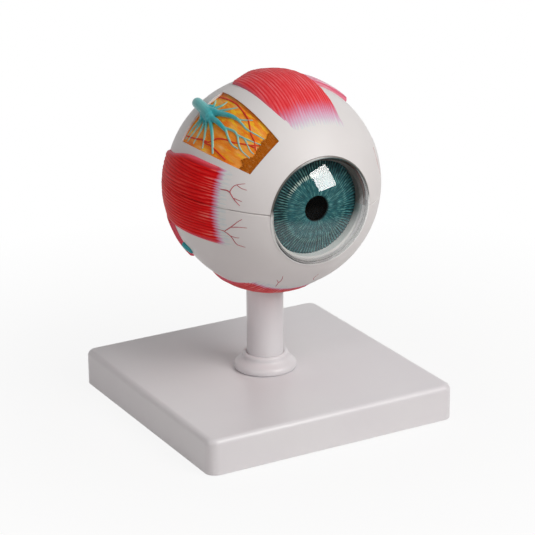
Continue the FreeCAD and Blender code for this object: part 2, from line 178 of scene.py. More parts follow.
def rounded_edge(distance, rounding):
    """Height share of a quarter-round edge at a distance inside it."""
    share = min(max(distance / rounding, 0.0), 1.0)
    return math.sqrt(1 - (1 - share) ** 2)


def through(points, share):
    """A place along a smooth curve through points; share runs from 0 to 1."""
    spans = len(points) - 1
    index = min(int(share * spans), spans - 1)
    local = share * spans - index
    before = points[max(index - 1, 0)]
    here = points[index]
    after = points[index + 1]
    beyond = points[min(index + 2, spans)]
    place = []
    for p0, p1, p2, p3 in zip(before, here, after, beyond):
        bend = 2 * p0 - 5 * p1 + 4 * p2 - p3
        twist = 3 * p1 - p0 - 3 * p2 + p3
        place.append(p1 + 0.5 * local * (p2 - p0 + local * (bend + local * twist)))
    return place


# %% [markdown]
# ## Helpers for materials
# A material is a small graph of nodes. Two helpers keep the graphs readable:
# *put* adds a node and sets what is named, and *paint* turns everyday 0-255
# colour values into the linear values that a shader wants. The others are short
# names for the steps that come back in nearly every graph.

# %% Helpers for materials
SIDEWAYS, UP = 0, 2
WHITE = (1, 1, 1, 1)


def paint(red, green, blue):
    """Linear colour from 0-255 screen values."""
    def linear(value):
        value = value / 255
        return value / 12.92 if value <= 0.04045 else ((value + 0.055) / 1.055) ** 2.4
    return (linear(red), linear(green), linear(blue), 1.0)


def stops(*screen_stops):
    """Stops of a colour ramp from (position, red, green, blue) in screen values."""
    return [(position, paint(*colour)) for position, *colour in screen_stops]


def new_material(name, roughness=0.5, **sockets):
    """A material with one Principled shader; returns the material, its tree and the shader."""
    material = bpy.data.materials.new(name)
    material.use_nodes = True
    shader = material.node_tree.nodes["Principled BSDF"]
    shader.inputs["Roughness"].default_value = roughness
    for socket, value in sockets.items():
        shader.inputs[socket.replace("_", " ")].default_value = value
    return material, material.node_tree, shader


def empty_tree(owner):
    """The node tree of a material or world, with nothing in it."""
    owner.use_nodes = True
    owner.node_tree.nodes.clear()
    return owner.node_tree


def put(tree, kind, inputs=None, **properties):
    """Add a node, set its properties, then set or wire its inputs."""
    node = tree.nodes.new("ShaderNode" + kind)
    for name, value in properties.items():
        setattr(node, name, value)
    for name, value in (inputs or {}).items():
        socket = node.inputs[name]
        if isinstance(value, bpy.types.NodeSocket):
            tree.links.new(value, socket)
        else:
            socket.default_value = value
    return node


def feed(tree, shader, colour, roughness=None):
    """Wire a colour, and a roughness where it varies, into a shader."""
    tree.links.new(colour, shader.inputs["Base Color"])
    if roughness:
        tree.links.new(roughness, shader.inputs["Roughness"])


def colour_mix(tree, factor, first, second, blend="MIX"):
    """Colour between two; each of the three may be a value or an output."""
    inputs = {0: factor, 6: first, 7: second}
    return put(tree, "Mix", inputs, data_type="RGBA", blend_type=blend).outputs[2]


def ramp(tree, value, colour_stops, interpolation="LINEAR"):
    """Colour ramp over a value; its stops are (position, colour)."""
    node = put(tree, "ValToRGB", {"Fac": value})
    node.color_ramp.interpolation = interpolation
    while len(node.color_ramp.elements) < len(colour_stops):
        node.color_ramp.elements.new(1.0)
    for element, (position, colour) in zip(node.color_ramp.elements, colour_stops):
        element.position = position
        element.color = colour
    return node.outputs["Color"]


def spread(tree, value, low, high, to_low=0.0, to_high=1.0):
    """Value mapped from one range to another, with its ends held."""
    inputs = {"Value": value, "From Min": low, "From Max": high, "To Min": to_low, "To Max": to_high}
    return put(tree, "MapRange", inputs, clamp=True).outputs["Result"]


def calc(tree, operation, *values):
    """One arithmetic step."""
    return put(tree, "Math", dict(enumerate(values)), operation=operation).outputs[0]


def mottle(tree, place, scale, detail=3.0, roughness=0.55):
    """Noise value at a place."""
    inputs = {"Vector": place, "Scale": scale, "Detail": detail, "Roughness": roughness}
    return put(tree, "TexNoise", inputs).outputs["Fac"]


def row_place(tree):
    """Where a point is in the row frame; it travels with its piece."""
    return put(tree, "TexCoord").outputs["Object"]


def stored(tree, name, output):
    """A value that a mesh carries at its points."""
    return put(tree, "Attribute", attribute_name=name).outputs[output]


def axes(tree, vector):
    """The three parts of a vector."""
    return put(tree, "SeparateXYZ", {"Vector": vector}).outputs


def length_of(tree, vector):
    """How long a vector is."""
    return put(tree, "VectorMath", {0: vector}, operation="LENGTH").outputs["Value"]


def over_globe(tree, place, axis, low, high, to_low=0.0, to_high=1.0):
    """Value that changes between two places on a row axis, given in mm from the globe's centre."""
    middle = centre_in_row[axis]
    return spread(tree, axes(tree, place)[axis], middle + low * MM, middle + high * MM, to_low, to_high)


def bump(tree, shader, height, distance, strength=1.0):
    """Wire a height into a shader's normal; distance is in metres."""
    inputs = {"Height": height, "Distance": distance, "Strength": strength}
    node = put(tree, "Bump", inputs)
    tree.links.new(node.outputs["Normal"], shader.inputs["Normal"])


def dress(names, material):
    """Give CAD nodes a material in their own slots."""
    for name in names:
        slots = nodes[name].data.materials
        slots.clear()
        slots.append(material)
    print(material.name, "on", ", ".join(names))


# %% [markdown]
# ## Satin plastic of the stand and the sclera
# The stand is injection moulded, with a fine satin skin that scatters the light
# a little differently from place to place. Noise in the roughness and a very
# shallow bump do that. The colour drifts by a hair too, because no moulding is
# perfectly even. The sclera is the same plastic, painted a warmer white.

# %% Satin plastics
SCLERA_TONE = paint(232, 229, 228)
DRIFT_SCALE = 18.0
WEAR_SCALE = 26.0
SKIN_SCALE = 900.0


def satin_plastic(name, colour, shade, roughness, gloss, grain):
    """Moulded plastic: colour drifts between two tones, and the skin has a fine grain."""
    material, tree, shader = new_material(name, roughness, Specular_IOR_Level=gloss)
    place = row_place(tree)
    drift = spread(tree, mottle(tree, place, DRIFT_SCALE), 0.35, 0.65)
    wear = mottle(tree, place, WEAR_SCALE, 1.0)
    rough = spread(tree, wear, 0.3, 0.7, roughness - 0.015, roughness + 0.02)
    feed(tree, shader, colour_mix(tree, drift, colour, shade), rough)
    bump(tree, shader, mottle(tree, place, SKIN_SCALE, 1.0), grain)
    return material


stand_plastic = satin_plastic(
    "stand_satin", paint(232, 230, 232), paint(229, 226, 229), roughness=0.30, gloss=0.5, grain=0.00001,
)
sclera_paint = satin_plastic(
    "sclera_paint", SCLERA_TONE, paint(228, 224, 223), roughness=0.45, gloss=0.35, grain=0.00002,
)
dress(["base_plate", "post", "globe_spigot"], stand_plastic)
dress(["sclera_lower", "sclera_upper"], sclera_paint)

# %% [markdown]
# ## A softer collar
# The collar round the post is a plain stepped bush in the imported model. The
# moulded one has no sharp step: its flange slopes like a shallow skirt and its
# lower edge is tucked in. The profile is short, (radius, height above the base)
# in millimetres, and it is turned about the post's own axis.

# %% Collar
COLLAR_PROFILE = [
    (10.6, -14.0), (12.2, -14.0), (12.2, 0.0), (16.6, 0.0), (17.3, 0.25), (17.8, 0.8), (18.0, 1.6),
    (17.9, 2.5), (17.5, 3.4), (16.8, 4.2), (15.8, 4.9), (14.8, 5.5), (14.0, 6.1), (13.45, 6.7),
    (13.3, 7.4), (13.3, 8.3), (13.1, 9.0), (12.6, 9.5), (11.9, 9.7), (11.0, 9.6), (10.6, 9.3),
]
BASE_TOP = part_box("base_plate")[1].z / MM


def turned_on_post(name, profile, body, slot, material, replaces, turns=160):
    """Closed ring turned about the upright axis of the stand."""
    points = []
    for radius, height in profile:
        for angle in around(turns):
            spot = Vector((radius * math.cos(angle), radius * math.sin(angle), BASE_TOP + height))
            points.append(globe_turn.transposed() @ (spot - globe_centre))
    faces = grid_faces(len(profile) + 1, turns, closed=True)
    faces = [tuple(vertex % len(points) for vertex in face) for face in faces]
    return make_piece(name, points, faces, body, slot, material, replaces=replaces)


turned_on_post("collar_moulding", COLLAR_PROFILE, "stand", "stand_plastic", stand_plastic, ("post_collar",))

# %% [markdown]
# ## Rubber feet and zinc-plated steel
# Rubber is dark, matt and slightly dusty. Zinc plating is a bright metal whose
# brightness drifts in soft spangles, so noise drives both tone and roughness.

# %% Rubber and steel
rubber, tree, shader = new_material("foot_rubber", 0.8)
dust = mottle(tree, row_place(tree), 260.0)
feed(tree, shader, ramp(tree, dust, stops((0.35, 40, 40, 41), (0.7, 66, 65, 64))))
bump(tree, shader, dust, 0.0001)
dress(["rubber_feet"], rubber)

steel, tree, shader = new_material("zinc_plated_steel", 0.35, Metallic=1.0)
spangle = mottle(tree, row_place(tree), 320.0)
zinc = ramp(tree, spangle, stops((0.3, 168, 170, 176), (0.7, 204, 206, 210)))
feed(tree, shader, zinc, spread(tree, spangle, 0.3, 0.7, 0.28, 0.42))
dress(["post_washer", "post_screw"], steel)

# %% [markdown]
# ## Muscle flesh
# The muscles are cast in plastic with straight fibres and painted by hand: deep
# red in the belly, pink along the sides, and a soft lilac front where the flesh
# runs out into a white tendon. Every muscle mesh carries two values at each
# point. *Strand* holds millimetres across the fibres, millimetres behind the
# front edge of the flesh, and millimetres from the nearest side. *Ridge* is the
# height of the fibre there. The paint follows both: dark in the valleys and
# bright on the ridges, so colour and shape always agree. Near the front, the
# ridge tops carry a painted highlight, a pale glint. One recipe makes four
# blends: a deep red for the side muscles and the lower oblique, a softer red
# under the globe, a rosier one on top whose front fades out slowly, its lighter
# tones a painted sheen from the light above, and a pale pink for the upper oblique.

# %% Muscle material
FIBRE_STRETCH = 0.05
TONE_STEPS = (0.05, 0.35, 0.68, 1.0)


def muscle_material(name, screen_tones, glint_tone, blush, fade, finger_reach):
    """Painted fibres: tones run from valley to ridge, sides blush, and the front fades out over some mm."""
    material, tree, shader = new_material(name, 0.45, Specular_IOR_Level=0.08)
    tones = [paint(*tone) for tone in screen_tones]
    ridge = stored(tree, "ridge", "Fac")
    across, behind, inside = axes(tree, stored(tree, "strand", "Vector"))
    long_drift = calc(tree, "MULTIPLY", behind, FIBRE_STRETCH)
    along_fibres = put(tree, "CombineXYZ", {"X": across, "Y": long_drift}).outputs[0]
    bundle = mottle(tree, along_fibres, 0.35, 2.0)
    hair = mottle(tree, along_fibres, 3.2, 3.0, 0.6)
    tone = calc(tree, "ADD", ridge, spread(tree, hair, 0.3, 0.7, -0.22, 0.22))

    flesh = ramp(tree, tone, list(zip(TONE_STEPS, tones)))
    flesh = colour_mix(tree, spread(tree, bundle, 0.4, 0.62, 0.0, 0.4), flesh, tones[1])
    # Painted highlight: near the front the ridge tops turn towards a pale glint.
    near_front = spread(tree, behind, 3.0, 12.0, 0.9, 0.0)
    glint = calc(tree, "MULTIPLY", spread(tree, tone, 0.62, 1.05), near_front)
    flesh = colour_mix(tree, glint, flesh, paint(*glint_tone))
    side_blush = spread(tree, calc(tree, "ADD", inside, ridge), 0.6, blush, 0.8, 0.0)
    flesh = colour_mix(tree, side_blush, flesh, paint(232, 108, 130))

    fingers = spread(tree, tone, 0.2, 1.0, finger_reach * 0.4, -finger_reach)
    soft = calc(tree, "ADD", behind, fingers)
    lilac = stops((0.22, 222, 206, 220), (0.45, 224, 170, 196), (0.72, 226, 112, 136))
    front_stops = [(0.00, SCLERA_TONE), *lilac, (1.00, tones[2])]
    front_paint = ramp(tree, spread(tree, soft, -fade * 0.6, fade), front_stops)
    tendon = ramp(tree, mottle(tree, along_fibres, 0.9), stops(
        (0.38, 214, 223, 226), (0.50, 228, 228, 226), (0.66, 234, 230, 228),
    ))
    tendon = colour_mix(tree, spread(tree, behind, -8.0, -4.0, 1.0, 0.0), tendon, SCLERA_TONE)
    skin = colour_mix(tree, spread(tree, soft, -fade * 0.6, -fade * 0.2), tendon, front_paint)
    feed(tree, shader, colour_mix(tree, spread(tree, soft, fade * 0.6, fade), skin, flesh))
    bump(tree, shader, hair, 0.00025)
    return material


deep_muscle = muscle_material(
    "muscle_paint_deep", [(194, 6, 14), (232, 16, 22), (242, 30, 32), (246, 70, 62)],
    (248, 150, 140), blush=3.4, fade=3.6, finger_reach=1.6,
)
low_muscle = muscle_material(
    "muscle_paint_low", [(204, 44, 50), (226, 66, 70), (234, 88, 90), (240, 122, 122)],
    (246, 156, 154), blush=2.2, fade=3.6, finger_reach=1.6,
)
# Painted sheen: the top muscle's tones are lighter and pinker, standing in for the sheen of the light from
# above.
sheen_painted_muscle = muscle_material(
    "muscle_paint_with_painted_sheen", [(222, 42, 52), (238, 62, 68), (242, 86, 92), (244, 120, 128)],
    (244, 150, 166), blush=2.0, fade=11.0, finger_reach=2.4,
)
pale_muscle = muscle_material(
    "muscle_paint_pale", [(206, 90, 114), (228, 136, 160), (240, 184, 202), (244, 208, 218)],
    (246, 216, 226), blush=2.6, fade=2.6, finger_reach=1.2,
)

# %% [markdown]
# ## Modelling a straight muscle
# A straight muscle is a strap that lies on the ball. It is drawn as a grid:
# columns run along the fibres, rows run across. Each side is a short list of
# (sideways offset, polar angle) points: the tendon's tip, the front edge of the
# flesh, and on to the cut rear end. The top of the grid is lifted by the belly,
# rounded off at the sides and ribbed by the fibres. The underside dips just
# into the sclera, so that no gap can show. The side of the top muscle that faces
# the temple rounds off more softly than its other side.

# %% Fibres and belly
BELLY_ANGLE = 100.0
FRONT_EDGE = 0.6
SUNK = -0.3
FIBRE_PITCH = 1.7
FIBRE_HEIGHT = 0.32
SIDE_ROUND = 2.2
END_ROUND = 2.6
MUSCLE_GAP = 0.08
RIDGE_MIDDLE = 0.7
TENDON_REACH = 8.5
STRAP_ROWS = 120
STRAP_COLUMN = 0.23
REAR_CROWDING = 1.25


def fibre_ridge(across, behind):
    """Fibre height from 0 to 1: round ridges with sharp valleys that wander and fade."""
    wander = noise.noise(Vector((across * 0.11, behind * 0.02, 4.0))) * 1.8
    wander += noise.noise(Vector((across * 0.5, behind * 0.05, 7.0))) * 0.4
    round_top = abs(math.cos(math.pi * (across + wander) / FIBRE_PITCH))
    strength = 0.8 + 0.5 * noise.noise(Vector((across * 0.4, behind * 0.06, 1.0)))
    hair = noise.noise(Vector((across * 2.4, behind * 0.12, 9.0))) * 0.2
    return min(max(round_top * strength + hair, 0.0), 1.0)


def belly_height(point, front_polar, toward, belly):
    """Thickness of a muscle over the sclera: thick at the belly, thin in front."""
    fall = 1 - math.cos(math.radians(BELLY_ANGLE - front_polar))
    shift = (belly - FRONT_EDGE) / fall
    return belly - shift * (1 - point.dot(toward))


def side_columns(count):
    """Shares from 0 to 1 that crowd a little at both ends, where the edges round off."""
    shares = [index / (count - 1) for index in range(count)]
    return [0.7 * share + 0.15 * (1 - math.cos(math.pi * share)) for share in shares]


def strap(name, body, node, place, height, columns, rows, material):
    """Closed sheet on the globe; place gives (direction, strand, distance to the end), height its lift."""
    top = []
    strands = []
    ridges = []
    for along in rows:
        for across in columns:
            toward, strand_value, to_end = place(across, along)
            ridge_value = fibre_ridge(strand_value[0], strand_value[1])
            top.append(toward * (GLOBE_RADIUS + height(toward, strand_value, ridge_value, to_end)))
            strands.append(strand_value)
            ridges.append(ridge_value)
    bottom = [point.normalized() * (GLOBE_RADIUS + 2 * SUNK) for point in top]
    faces = sheet_faces(len(rows), len(columns))
    looks = ("muscle_red", material, strands * 2, ridges * 2)
    return make_piece(name, top + bottom, faces, body, *looks, replaces=(node,))


# %% A straight muscle from its two sides
def straight_muscle(name, body, node, clock, left, right, belly, bulge=0.0, seam=False, hole=0.0,
                    soft_left=0.0, material=deep_muscle):
    """Strap at a clock angle; its front bulges, a seam keeps its left side, a hole clears the post."""
    out = direction(90, clock)
    sideways = Vector((0, 0, 1)) if abs(out.z) < 0.5 else Vector((1, 0, 0))
    forward = Vector((0, -1, 0))
    toward_belly = direction(BELLY_ANGLE, clock)
    front_polar = min(left[1][1], right[1][1])
    front_share = 1 / (len(left) - 1)

    def side_place(side, share):
        if share < front_share:
            tip, front = side[:2]
            mix = share / front_share
            offset = tip[0] + (front[0] - tip[0]) * mix
            polar = tip[1] + (front[1] - tip[1]) * mix
        else:
            offset, polar = through(side[1:], (share - front_share) / (1 - front_share))
        return offset, GLOBE_RADIUS * math.cos(math.radians(polar))

    def flat(across, share):
        near = side_place(left, share)
        beyond = side_place(right, share)
        tip = max(1 - share / front_share, 0.0)
        offset = near[0] + (beyond[0] - near[0]) * across
        ahead = near[1] + (beyond[1] - near[1]) * across + bulge * math.sin(math.pi * across) * tip
        return offset, ahead, abs(beyond[0] - near[0])

    def place(across, share):
        offset, ahead, width = flat(across, share)
        lift = math.sqrt(GLOBE_RADIUS ** 2 - offset ** 2 - ahead ** 2)
        toward = (sideways * offset + forward * ahead + out * lift).normalized()
        front_ahead, rear_ahead = ends[across]
        front, here, rear = [math.asin(value / GLOBE_RADIUS) for value in (front_ahead, ahead, rear_ahead)]
        behind = GLOBE_RADIUS * (front - here)
        inside = (1 - across) * width if seam else min(across, 1 - across) * width
        return toward, (offset, behind, inside), GLOBE_RADIUS * (here - rear)

    def height(toward, strand_value, ridge_value, to_end):
        offset, behind, inside = strand_value
        crest = belly_height(toward, front_polar, toward_belly, belly)
        tendon = smooth_step((behind + TENDON_REACH) / 8)
        flesh = smooth_step((behind + 1.0) / 5)
        lift = FRONT_EDGE * 0.5 * tendon - 0.1 + (crest - FRONT_EDGE * 0.4) * smooth_step(behind / 9 + 0.12)
        lift += (ridge_value - RIDGE_MIDDLE) * FIBRE_HEIGHT * (0.15 * tendon + 0.85 * flesh)
        lift *= 1 - 0.08 * soft_left * smooth_step((-6 - offset) / 14)
        rounding = SIDE_ROUND + soft_left * smooth_step((8 - offset) / 12) * smooth_step((to_end - 6) / 20)
        edge = rounded_edge(inside, rounding) * rounded_edge(to_end, END_ROUND)
        if seam:
            edge *= 0.75 + 0.25 * rounded_edge(abs(offset) - MUSCLE_GAP, 0.35)
        if hole:
            point = toward * GLOBE_RADIUS
            edge *= rounded_edge(math.hypot(point.x, point.y) - hole, 1.2)
        return SUNK + (lift - SUNK) * edge

    rows = [1 - (1 - index / (STRAP_ROWS - 1)) ** REAR_CROWDING for index in range(STRAP_ROWS)]
    columns = side_columns(int(abs(right[2][0] - left[2][0]) / STRAP_COLUMN))
    ends = {across: (flat(across, front_share)[1], flat(across, 1.0)[1]) for across in columns}
    return strap(name, body, node, place, height, columns, rows, material)


# %% Superior and inferior rectus
REAR = 117.0
POST_HOLE_RADIUS = 11.8
straight_muscle(
    "superior_rectus_flesh", "globe_upper", "superior_rectus", 90,
    [(-15.6, 47.4), (-16.5, 52.5), (-21.5, 70.7), (-23.4, 90.0), (-22.4, 105.0)],
    [(20.5, 47.0), (18.0, 54.7), (17.4, 64.0), (14.0, 87.4), (7.0, REAR)],
    belly=3.4, bulge=2.0, soft_left=4.5, material=sheen_painted_muscle,
)
straight_muscle(
    "inferior_rectus_flesh", "globe_lower", "inferior_rectus", -90,
    [(-22.0, 50.0), (-25.0, 61.0), (-27.1, 69.4), (-28.4, 90.0), (-28.0, REAR)],
    [(15.0, 50.0), (13.5, 60.0), (13.3, 75.0), (13.0, 90.0), (8.0, REAR)],
    belly=3.1, bulge=2.0, hole=POST_HOLE_RADIUS, material=low_muscle,
)

# %% [markdown]
# ## The side muscles, parted by the seam
# The globe opens at its equator, and the seam runs straight through the lateral
# and the medial rectus. Each of them is therefore two straps that meet at a
# hairline. Along the seam the edge is barely rounded, and everywhere else it is
# rounded like the other muscles.

# %% Lateral and medial rectus
def side_muscle(name, clock, top_edge, bottom_edge):
    """Two straps, one on each half of the globe, with their seam edges at the equator."""
    halves = ((1, "upper", top_edge, bottom_edge), (-1, "lower", bottom_edge, top_edge))
    for side, part, edge, other in halves:
        seam_edge = []
        for (offset, polar), (far_offset, far_polar) in zip(edge, other):
            share = offset / (offset - far_offset)
            seam_edge.append((side * MUSCLE_GAP, polar + (far_polar - polar) * share))
        straight_muscle(
            f"{name}_{part}_flesh", f"globe_{part}", f"{name}_{part}", clock, seam_edge, edge,
            belly=2.5, seam=True,
        )


side_muscle(
    "lateral_rectus", 180,
    [(20.0, 54.5), (21.0, 61.2), (22.0, 85.0), (17.2, 104.0), (15.0, REAR)],
    [(-23.0, 52.0), (-22.2, 59.1), (-21.5, 85.0), (-21.8, 104.0), (-22.0, REAR)],
)
side_muscle(
    "medial_rectus", 0,
    [(27.0, 60.0), (29.5, 69.5), (30.0, 85.0), (28.5, 104.0), (26.5, REAR)],
    [(-22.0, 56.0), (-22.0, 64.0), (-22.0, 85.0), (-22.0, 104.0), (-22.0, REAR)],
)

# %% [markdown]
# ## The oblique muscles
# These two are short strips whose fibres run round the globe instead of
# backwards. Each is a patch between four corners, rounded on all sides.

# %% Superior and inferior oblique
OBLIQUE_ROWS = 60
OBLIQUE_COLUMNS = 80
OBLIQUE_END_ROUND = 1.2


def oblique_muscle(name, body, node, corners, belly, material):
    """Patch between four (polar, clock) corners; its fibres run from the first edge to the second."""
    start_near, start_far, end_far, end_near = [direction(*corner) for corner in corners]
    width = (start_near - start_far).length * GLOBE_RADIUS
    length = (start_near - end_near).length * GLOBE_RADIUS

    def place(across, along):
        start = start_near.lerp(start_far, across)
        end = end_near.lerp(end_far, across)
        toward = start.lerp(end, along).normalized()
        inside = min(across, 1 - across) * width
        to_end = min(along, 1 - along) * length
        return toward, (across * width + 40.0, 12.0 + along * length, inside), to_end

    def height(toward, strand_value, ridge_value, to_end):
        crest = belly + (ridge_value - RIDGE_MIDDLE) * FIBRE_HEIGHT
        sides = rounded_edge(strand_value[2], SIDE_ROUND)
        return SUNK + (crest - SUNK) * sides * rounded_edge(to_end, OBLIQUE_END_ROUND)

    rows = [index / (OBLIQUE_ROWS - 1) for index in range(OBLIQUE_ROWS)]
    return strap(name, body, node, place, height, side_columns(OBLIQUE_COLUMNS), rows, material)


oblique_muscle(
    "superior_oblique_flesh", "globe_upper", "superior_oblique",
    [(83.0, 77.0), (99.0, 77.0), (95.0, 51.5), (82.0, 50.5)], belly=2.2, material=pale_muscle,
)
oblique_muscle(
    "inferior_oblique_flesh", "globe_lower", "inferior_oblique",
    [(101.5, -158.0), (115.0, -158.0), (115.0, -132.0), (101.5, -132.0)], belly=2.2, material=deep_muscle,
)

# %% [markdown]
# ## The iris
# A moulded iris is a shallow dome full of radial ridges. An outer zone has
# coarse ridges with deep furrows. At the collarette, about two thirds of the
# way out, every second ridge ends in a bright little step. On the upper temple
# side the paint turns these steps near white, a painted highlight. The inner zone
# is finer and dips into the pupil like a funnel. The ridges are real geometry, so
# that they catch the light. *Strand* tells the paint the radius and the angle,
# and *ridge* the height. The paint has more contrast at the upper temple side
# of the outer zone, and soft rings of shade run round it.

# %% Iris material
PUPIL_RADIUS = 7.0
IRIS_RADIUS = 27.3
COLLARETTE = 18.4
FUNNEL_WIDTH = 2.6
TICK_SHIFT = 0.5
TICK_GLINT_CLOCK = 122
CRISP_TILT = 35

iris_paint, tree, shader = new_material("iris_paint", 0.45, Specular_IOR_Level=0.25)
radius, angle = axes(tree, stored(tree, "strand", "Vector"))[:2]
fine_ray = put(tree, "CombineXYZ", {"X": calc(tree, "MULTIPLY", radius, 0.012), "Y": angle}).outputs[0]
ray = mottle(tree, fine_ray, 34.0, 3.0, 0.6)
tone = calc(tree, "ADD", stored(tree, "ridge", "Fac"), spread(tree, ray, 0.3, 0.7, -0.3, 0.3))
crisp, quiet, inner = [ramp(tree, tone, teal_stops) for teal_stops in (
    stops((0.10, 4, 38, 44), (0.45, 20, 66, 72), (0.78, 48, 102, 104), (1.00, 96, 148, 144)),
    stops((0.10, 12, 58, 64), (0.40, 32, 92, 98), (0.80, 54, 120, 126), (1.00, 104, 162, 160)),
    stops((0.05, 8, 44, 50), (0.35, 26, 84, 90), (0.75, 48, 114, 120), (1.00, 110, 170, 166)),
)]
tilted = calc(tree, "COSINE", calc(tree, "ADD", angle, math.radians(CRISP_TILT)))
from_crisp_side = calc(tree, "MULTIPLY", radius, tilted)
outer = colour_mix(tree, spread(tree, from_crisp_side, -14.0, 10.0), crisp, quiet)
zone = spread(tree, radius, COLLARETTE - 0.6, COLLARETTE + 1.6)
iris_colour = colour_mix(tree, zone, inner, outer)

# Painted highlight: on the upper temple side the collarette's steps turn near white.
off_collarette = calc(tree, "ABSOLUTE", calc(tree, "SUBTRACT", radius, COLLARETTE + TICK_SHIFT))
near_collarette = spread(tree, off_collarette, 0.6, 1.4, 1.0, 0.0)
toward_tick_glint = calc(tree, "COSINE", calc(tree, "SUBTRACT", angle, math.radians(TICK_GLINT_CLOCK)))
tick = calc(tree, "MULTIPLY", near_collarette, spread(tree, toward_tick_glint, 0.78, 0.93))
tick = calc(tree, "MULTIPLY", tick, spread(tree, tone, 0.62, 0.92))
iris_colour = colour_mix(tree, tick, iris_colour, paint(214, 232, 222))

shade = ramp(tree, spread(tree, radius, PUPIL_RADIUS, IRIS_RADIUS), [
    (0.00, WHITE), (0.12, WHITE), (0.26, (0.78, 0.82, 0.82, 1)), (0.38, WHITE),
    (0.51, (0.76, 0.80, 0.80, 1)), (0.60, WHITE), (0.93, WHITE), (1.00, (0.5, 0.55, 0.55, 1)),
])
iris_colour = colour_mix(tree, 1.0, iris_colour, shade, "MULTIPLY")
funnel = spread(tree, radius, PUPIL_RADIUS + 0.05, PUPIL_RADIUS + 0.6, 1.0, 0.0)
feed(tree, shader, colour_mix(tree, funnel, iris_colour, paint(14, 22, 23)))
bump(tree, shader, ray, 0.00015)

# %% Iris halves
IRIS_DOME = 71.0
IRIS_RECESS = 8.4
IRIS_WALL = 2.0
IRIS_GAP = 0.03
IRIS_TURNS = 640
IRIS_RINGS = 52
RIDGES = 92
CORNEA_RIM = 30.3

rim_front = math.sqrt(GLOBE_RADIUS ** 2 - CORNEA_RIM ** 2)
iris_setback = math.sqrt(IRIS_DOME ** 2 - IRIS_RADIUS ** 2) - (rim_front - IRIS_RECESS)


def iris_relief(radius, angle):
    """Ridge height from 0 to 1, and the relief over the dome in mm, at a place on the iris."""
    sway = noise.noise(Vector((radius * 0.14, angle * 4.0, 2.0))) * 1.4
    sway += noise.noise(Vector((radius * 0.05, angle * 15.0, 7.0))) * 1.2
    phase = angle * RIDGES + sway
    uneven = 0.85 + 0.5 * noise.noise(Vector((radius * 0.3, angle * 11.0, 5.0)))
    outer = smooth_step((radius - COLLARETTE) / 1.4)
    coarse = abs(math.cos(phase / 2))
    thin = abs(math.cos(phase * 0.5 + sway * 0.6))
    level = outer * coarse ** 1.3 + (1 - outer) * (0.2 + 0.7 * thin ** 0.6)
    tick = math.exp(-((radius - COLLARETTE - TICK_SHIFT) / 0.9) ** 2) * (0.5 + 0.5 * math.cos(phase)) ** 3
    level = min(max(level * uneven * (1 - 0.3 * tick) + tick * 0.95, 0.0), 1.1)
    depth = 0.34 + outer * 0.36 * (1 - 0.5 * smooth_step((radius - IRIS_RADIUS + 2.5) / 2.5))
    inner_step = 0.3 * (1 - outer)
    funnel = 1.5 * (1 - rounded_edge(radius - PUPIL_RADIUS, FUNNEL_WIDTH))
    return level, inner_step - 0.3 - depth * (1 - level) + tick * 0.15 - funnel


def iris_half(name, body, node, side):
    """Ribbed front and plain back of one half of the iris, with a rounded pupil edge."""
    front = []
    back = []
    strands = []
    ridges = []
    for ring in range(IRIS_RINGS):
        share = ring / (IRIS_RINGS - 1)
        radius = PUPIL_RADIUS + (IRIS_RADIUS - PUPIL_RADIUS) * (0.75 * share + 0.25 * share ** 2)
        gap = math.asin(IRIS_GAP / radius)
        ahead = math.sqrt(IRIS_DOME ** 2 - radius ** 2) - iris_setback
        for turn in range(IRIS_TURNS):
            angle = gap + (math.pi - 2 * gap) * turn / (IRIS_TURNS - 1)
            level, relief = iris_relief(radius, angle * side)
            x = radius * math.cos(angle)
            z = radius * math.sin(angle) * side
            front.append(Vector((x, -(ahead + relief), z)))
            back.append(Vector((x, -(ahead - IRIS_WALL), z)))
            strands.append((radius, angle * side, 0.0))
            ridges.append(level)
    faces = sheet_faces(IRIS_RINGS, IRIS_TURNS, inside_out=side < 0)
    looks = ("iris_teal", iris_paint, strands * 2, ridges * 2)
    return make_piece(name, front + back, faces, body, *looks, replaces=(node,))


iris_half("iris_leaf_lower", "choroid_lower", "iris_lower", -1)
iris_half("iris_leaf_upper", "choroid_upper", "iris_upper", 1)

# %% [markdown]
# ## The cornea
# The cornea is a clear acrylic cap. Real glass in a path tracer would throw a
# dark shadow on the iris, so the cap lets light straight through and only adds
# its reflections. They are faint face on and grow steeply towards grazing angles,
# so the slope of the surface, raised to the fifth power, mixes the two shaders.
# The cap is a turned shape, so a lathe makes it: one profile, swept round the
# optical axis. Only its dome is polished. Light gathers in the cut edges of its
# foot, so such a cap shows thin rings at its rim, and each ring has a paint of
# its own that paints in that light and shade. The lip that lies on the sclera is
# white, a painted highlight, and dulls to grey above the seam, painted shade. The
# bead inside it is pale too, a painted highlight, with a painted shadow as a dark
# crescent low on the temple side and dark teal painted shade above the seam. The
# frosted foot darkens upwards as painted shade, and its side wall is painted dark
# on the temple side as painted shade.

# %% Clear materials
def clear_material(name, tint, face_on, roughness=0.02):
    """Clear plastic: see-through, with reflections that grow towards grazing angles."""
    material = bpy.data.materials.new(name)
    tree = empty_tree(material)
    through_it = put(tree, "BsdfTransparent", {"Color": tint})
    shine = put(tree, "BsdfGlossy", {"Color": WHITE, "Roughness": roughness})
    slope = put(tree, "LayerWeight", {"Blend": 0.5}).outputs["Facing"]
    mirror = calc(tree, "MULTIPLY_ADD", calc(tree, "POWER", slope, 5.0), 1 - face_on, face_on)
    both = put(tree, "MixShader", {0: mirror, 1: through_it.outputs[0], 2: shine.outputs[0]})
    put(tree, "OutputMaterial", {"Surface": both.outputs[0]})
    return material


cornea_clear = clear_material("cornea_acrylic", (0.99, 0.995, 0.995, 1), face_on=0.05)
cornea_inside = clear_material("cornea_acrylic_inside", (0.985, 0.99, 0.99, 1), face_on=0.01)

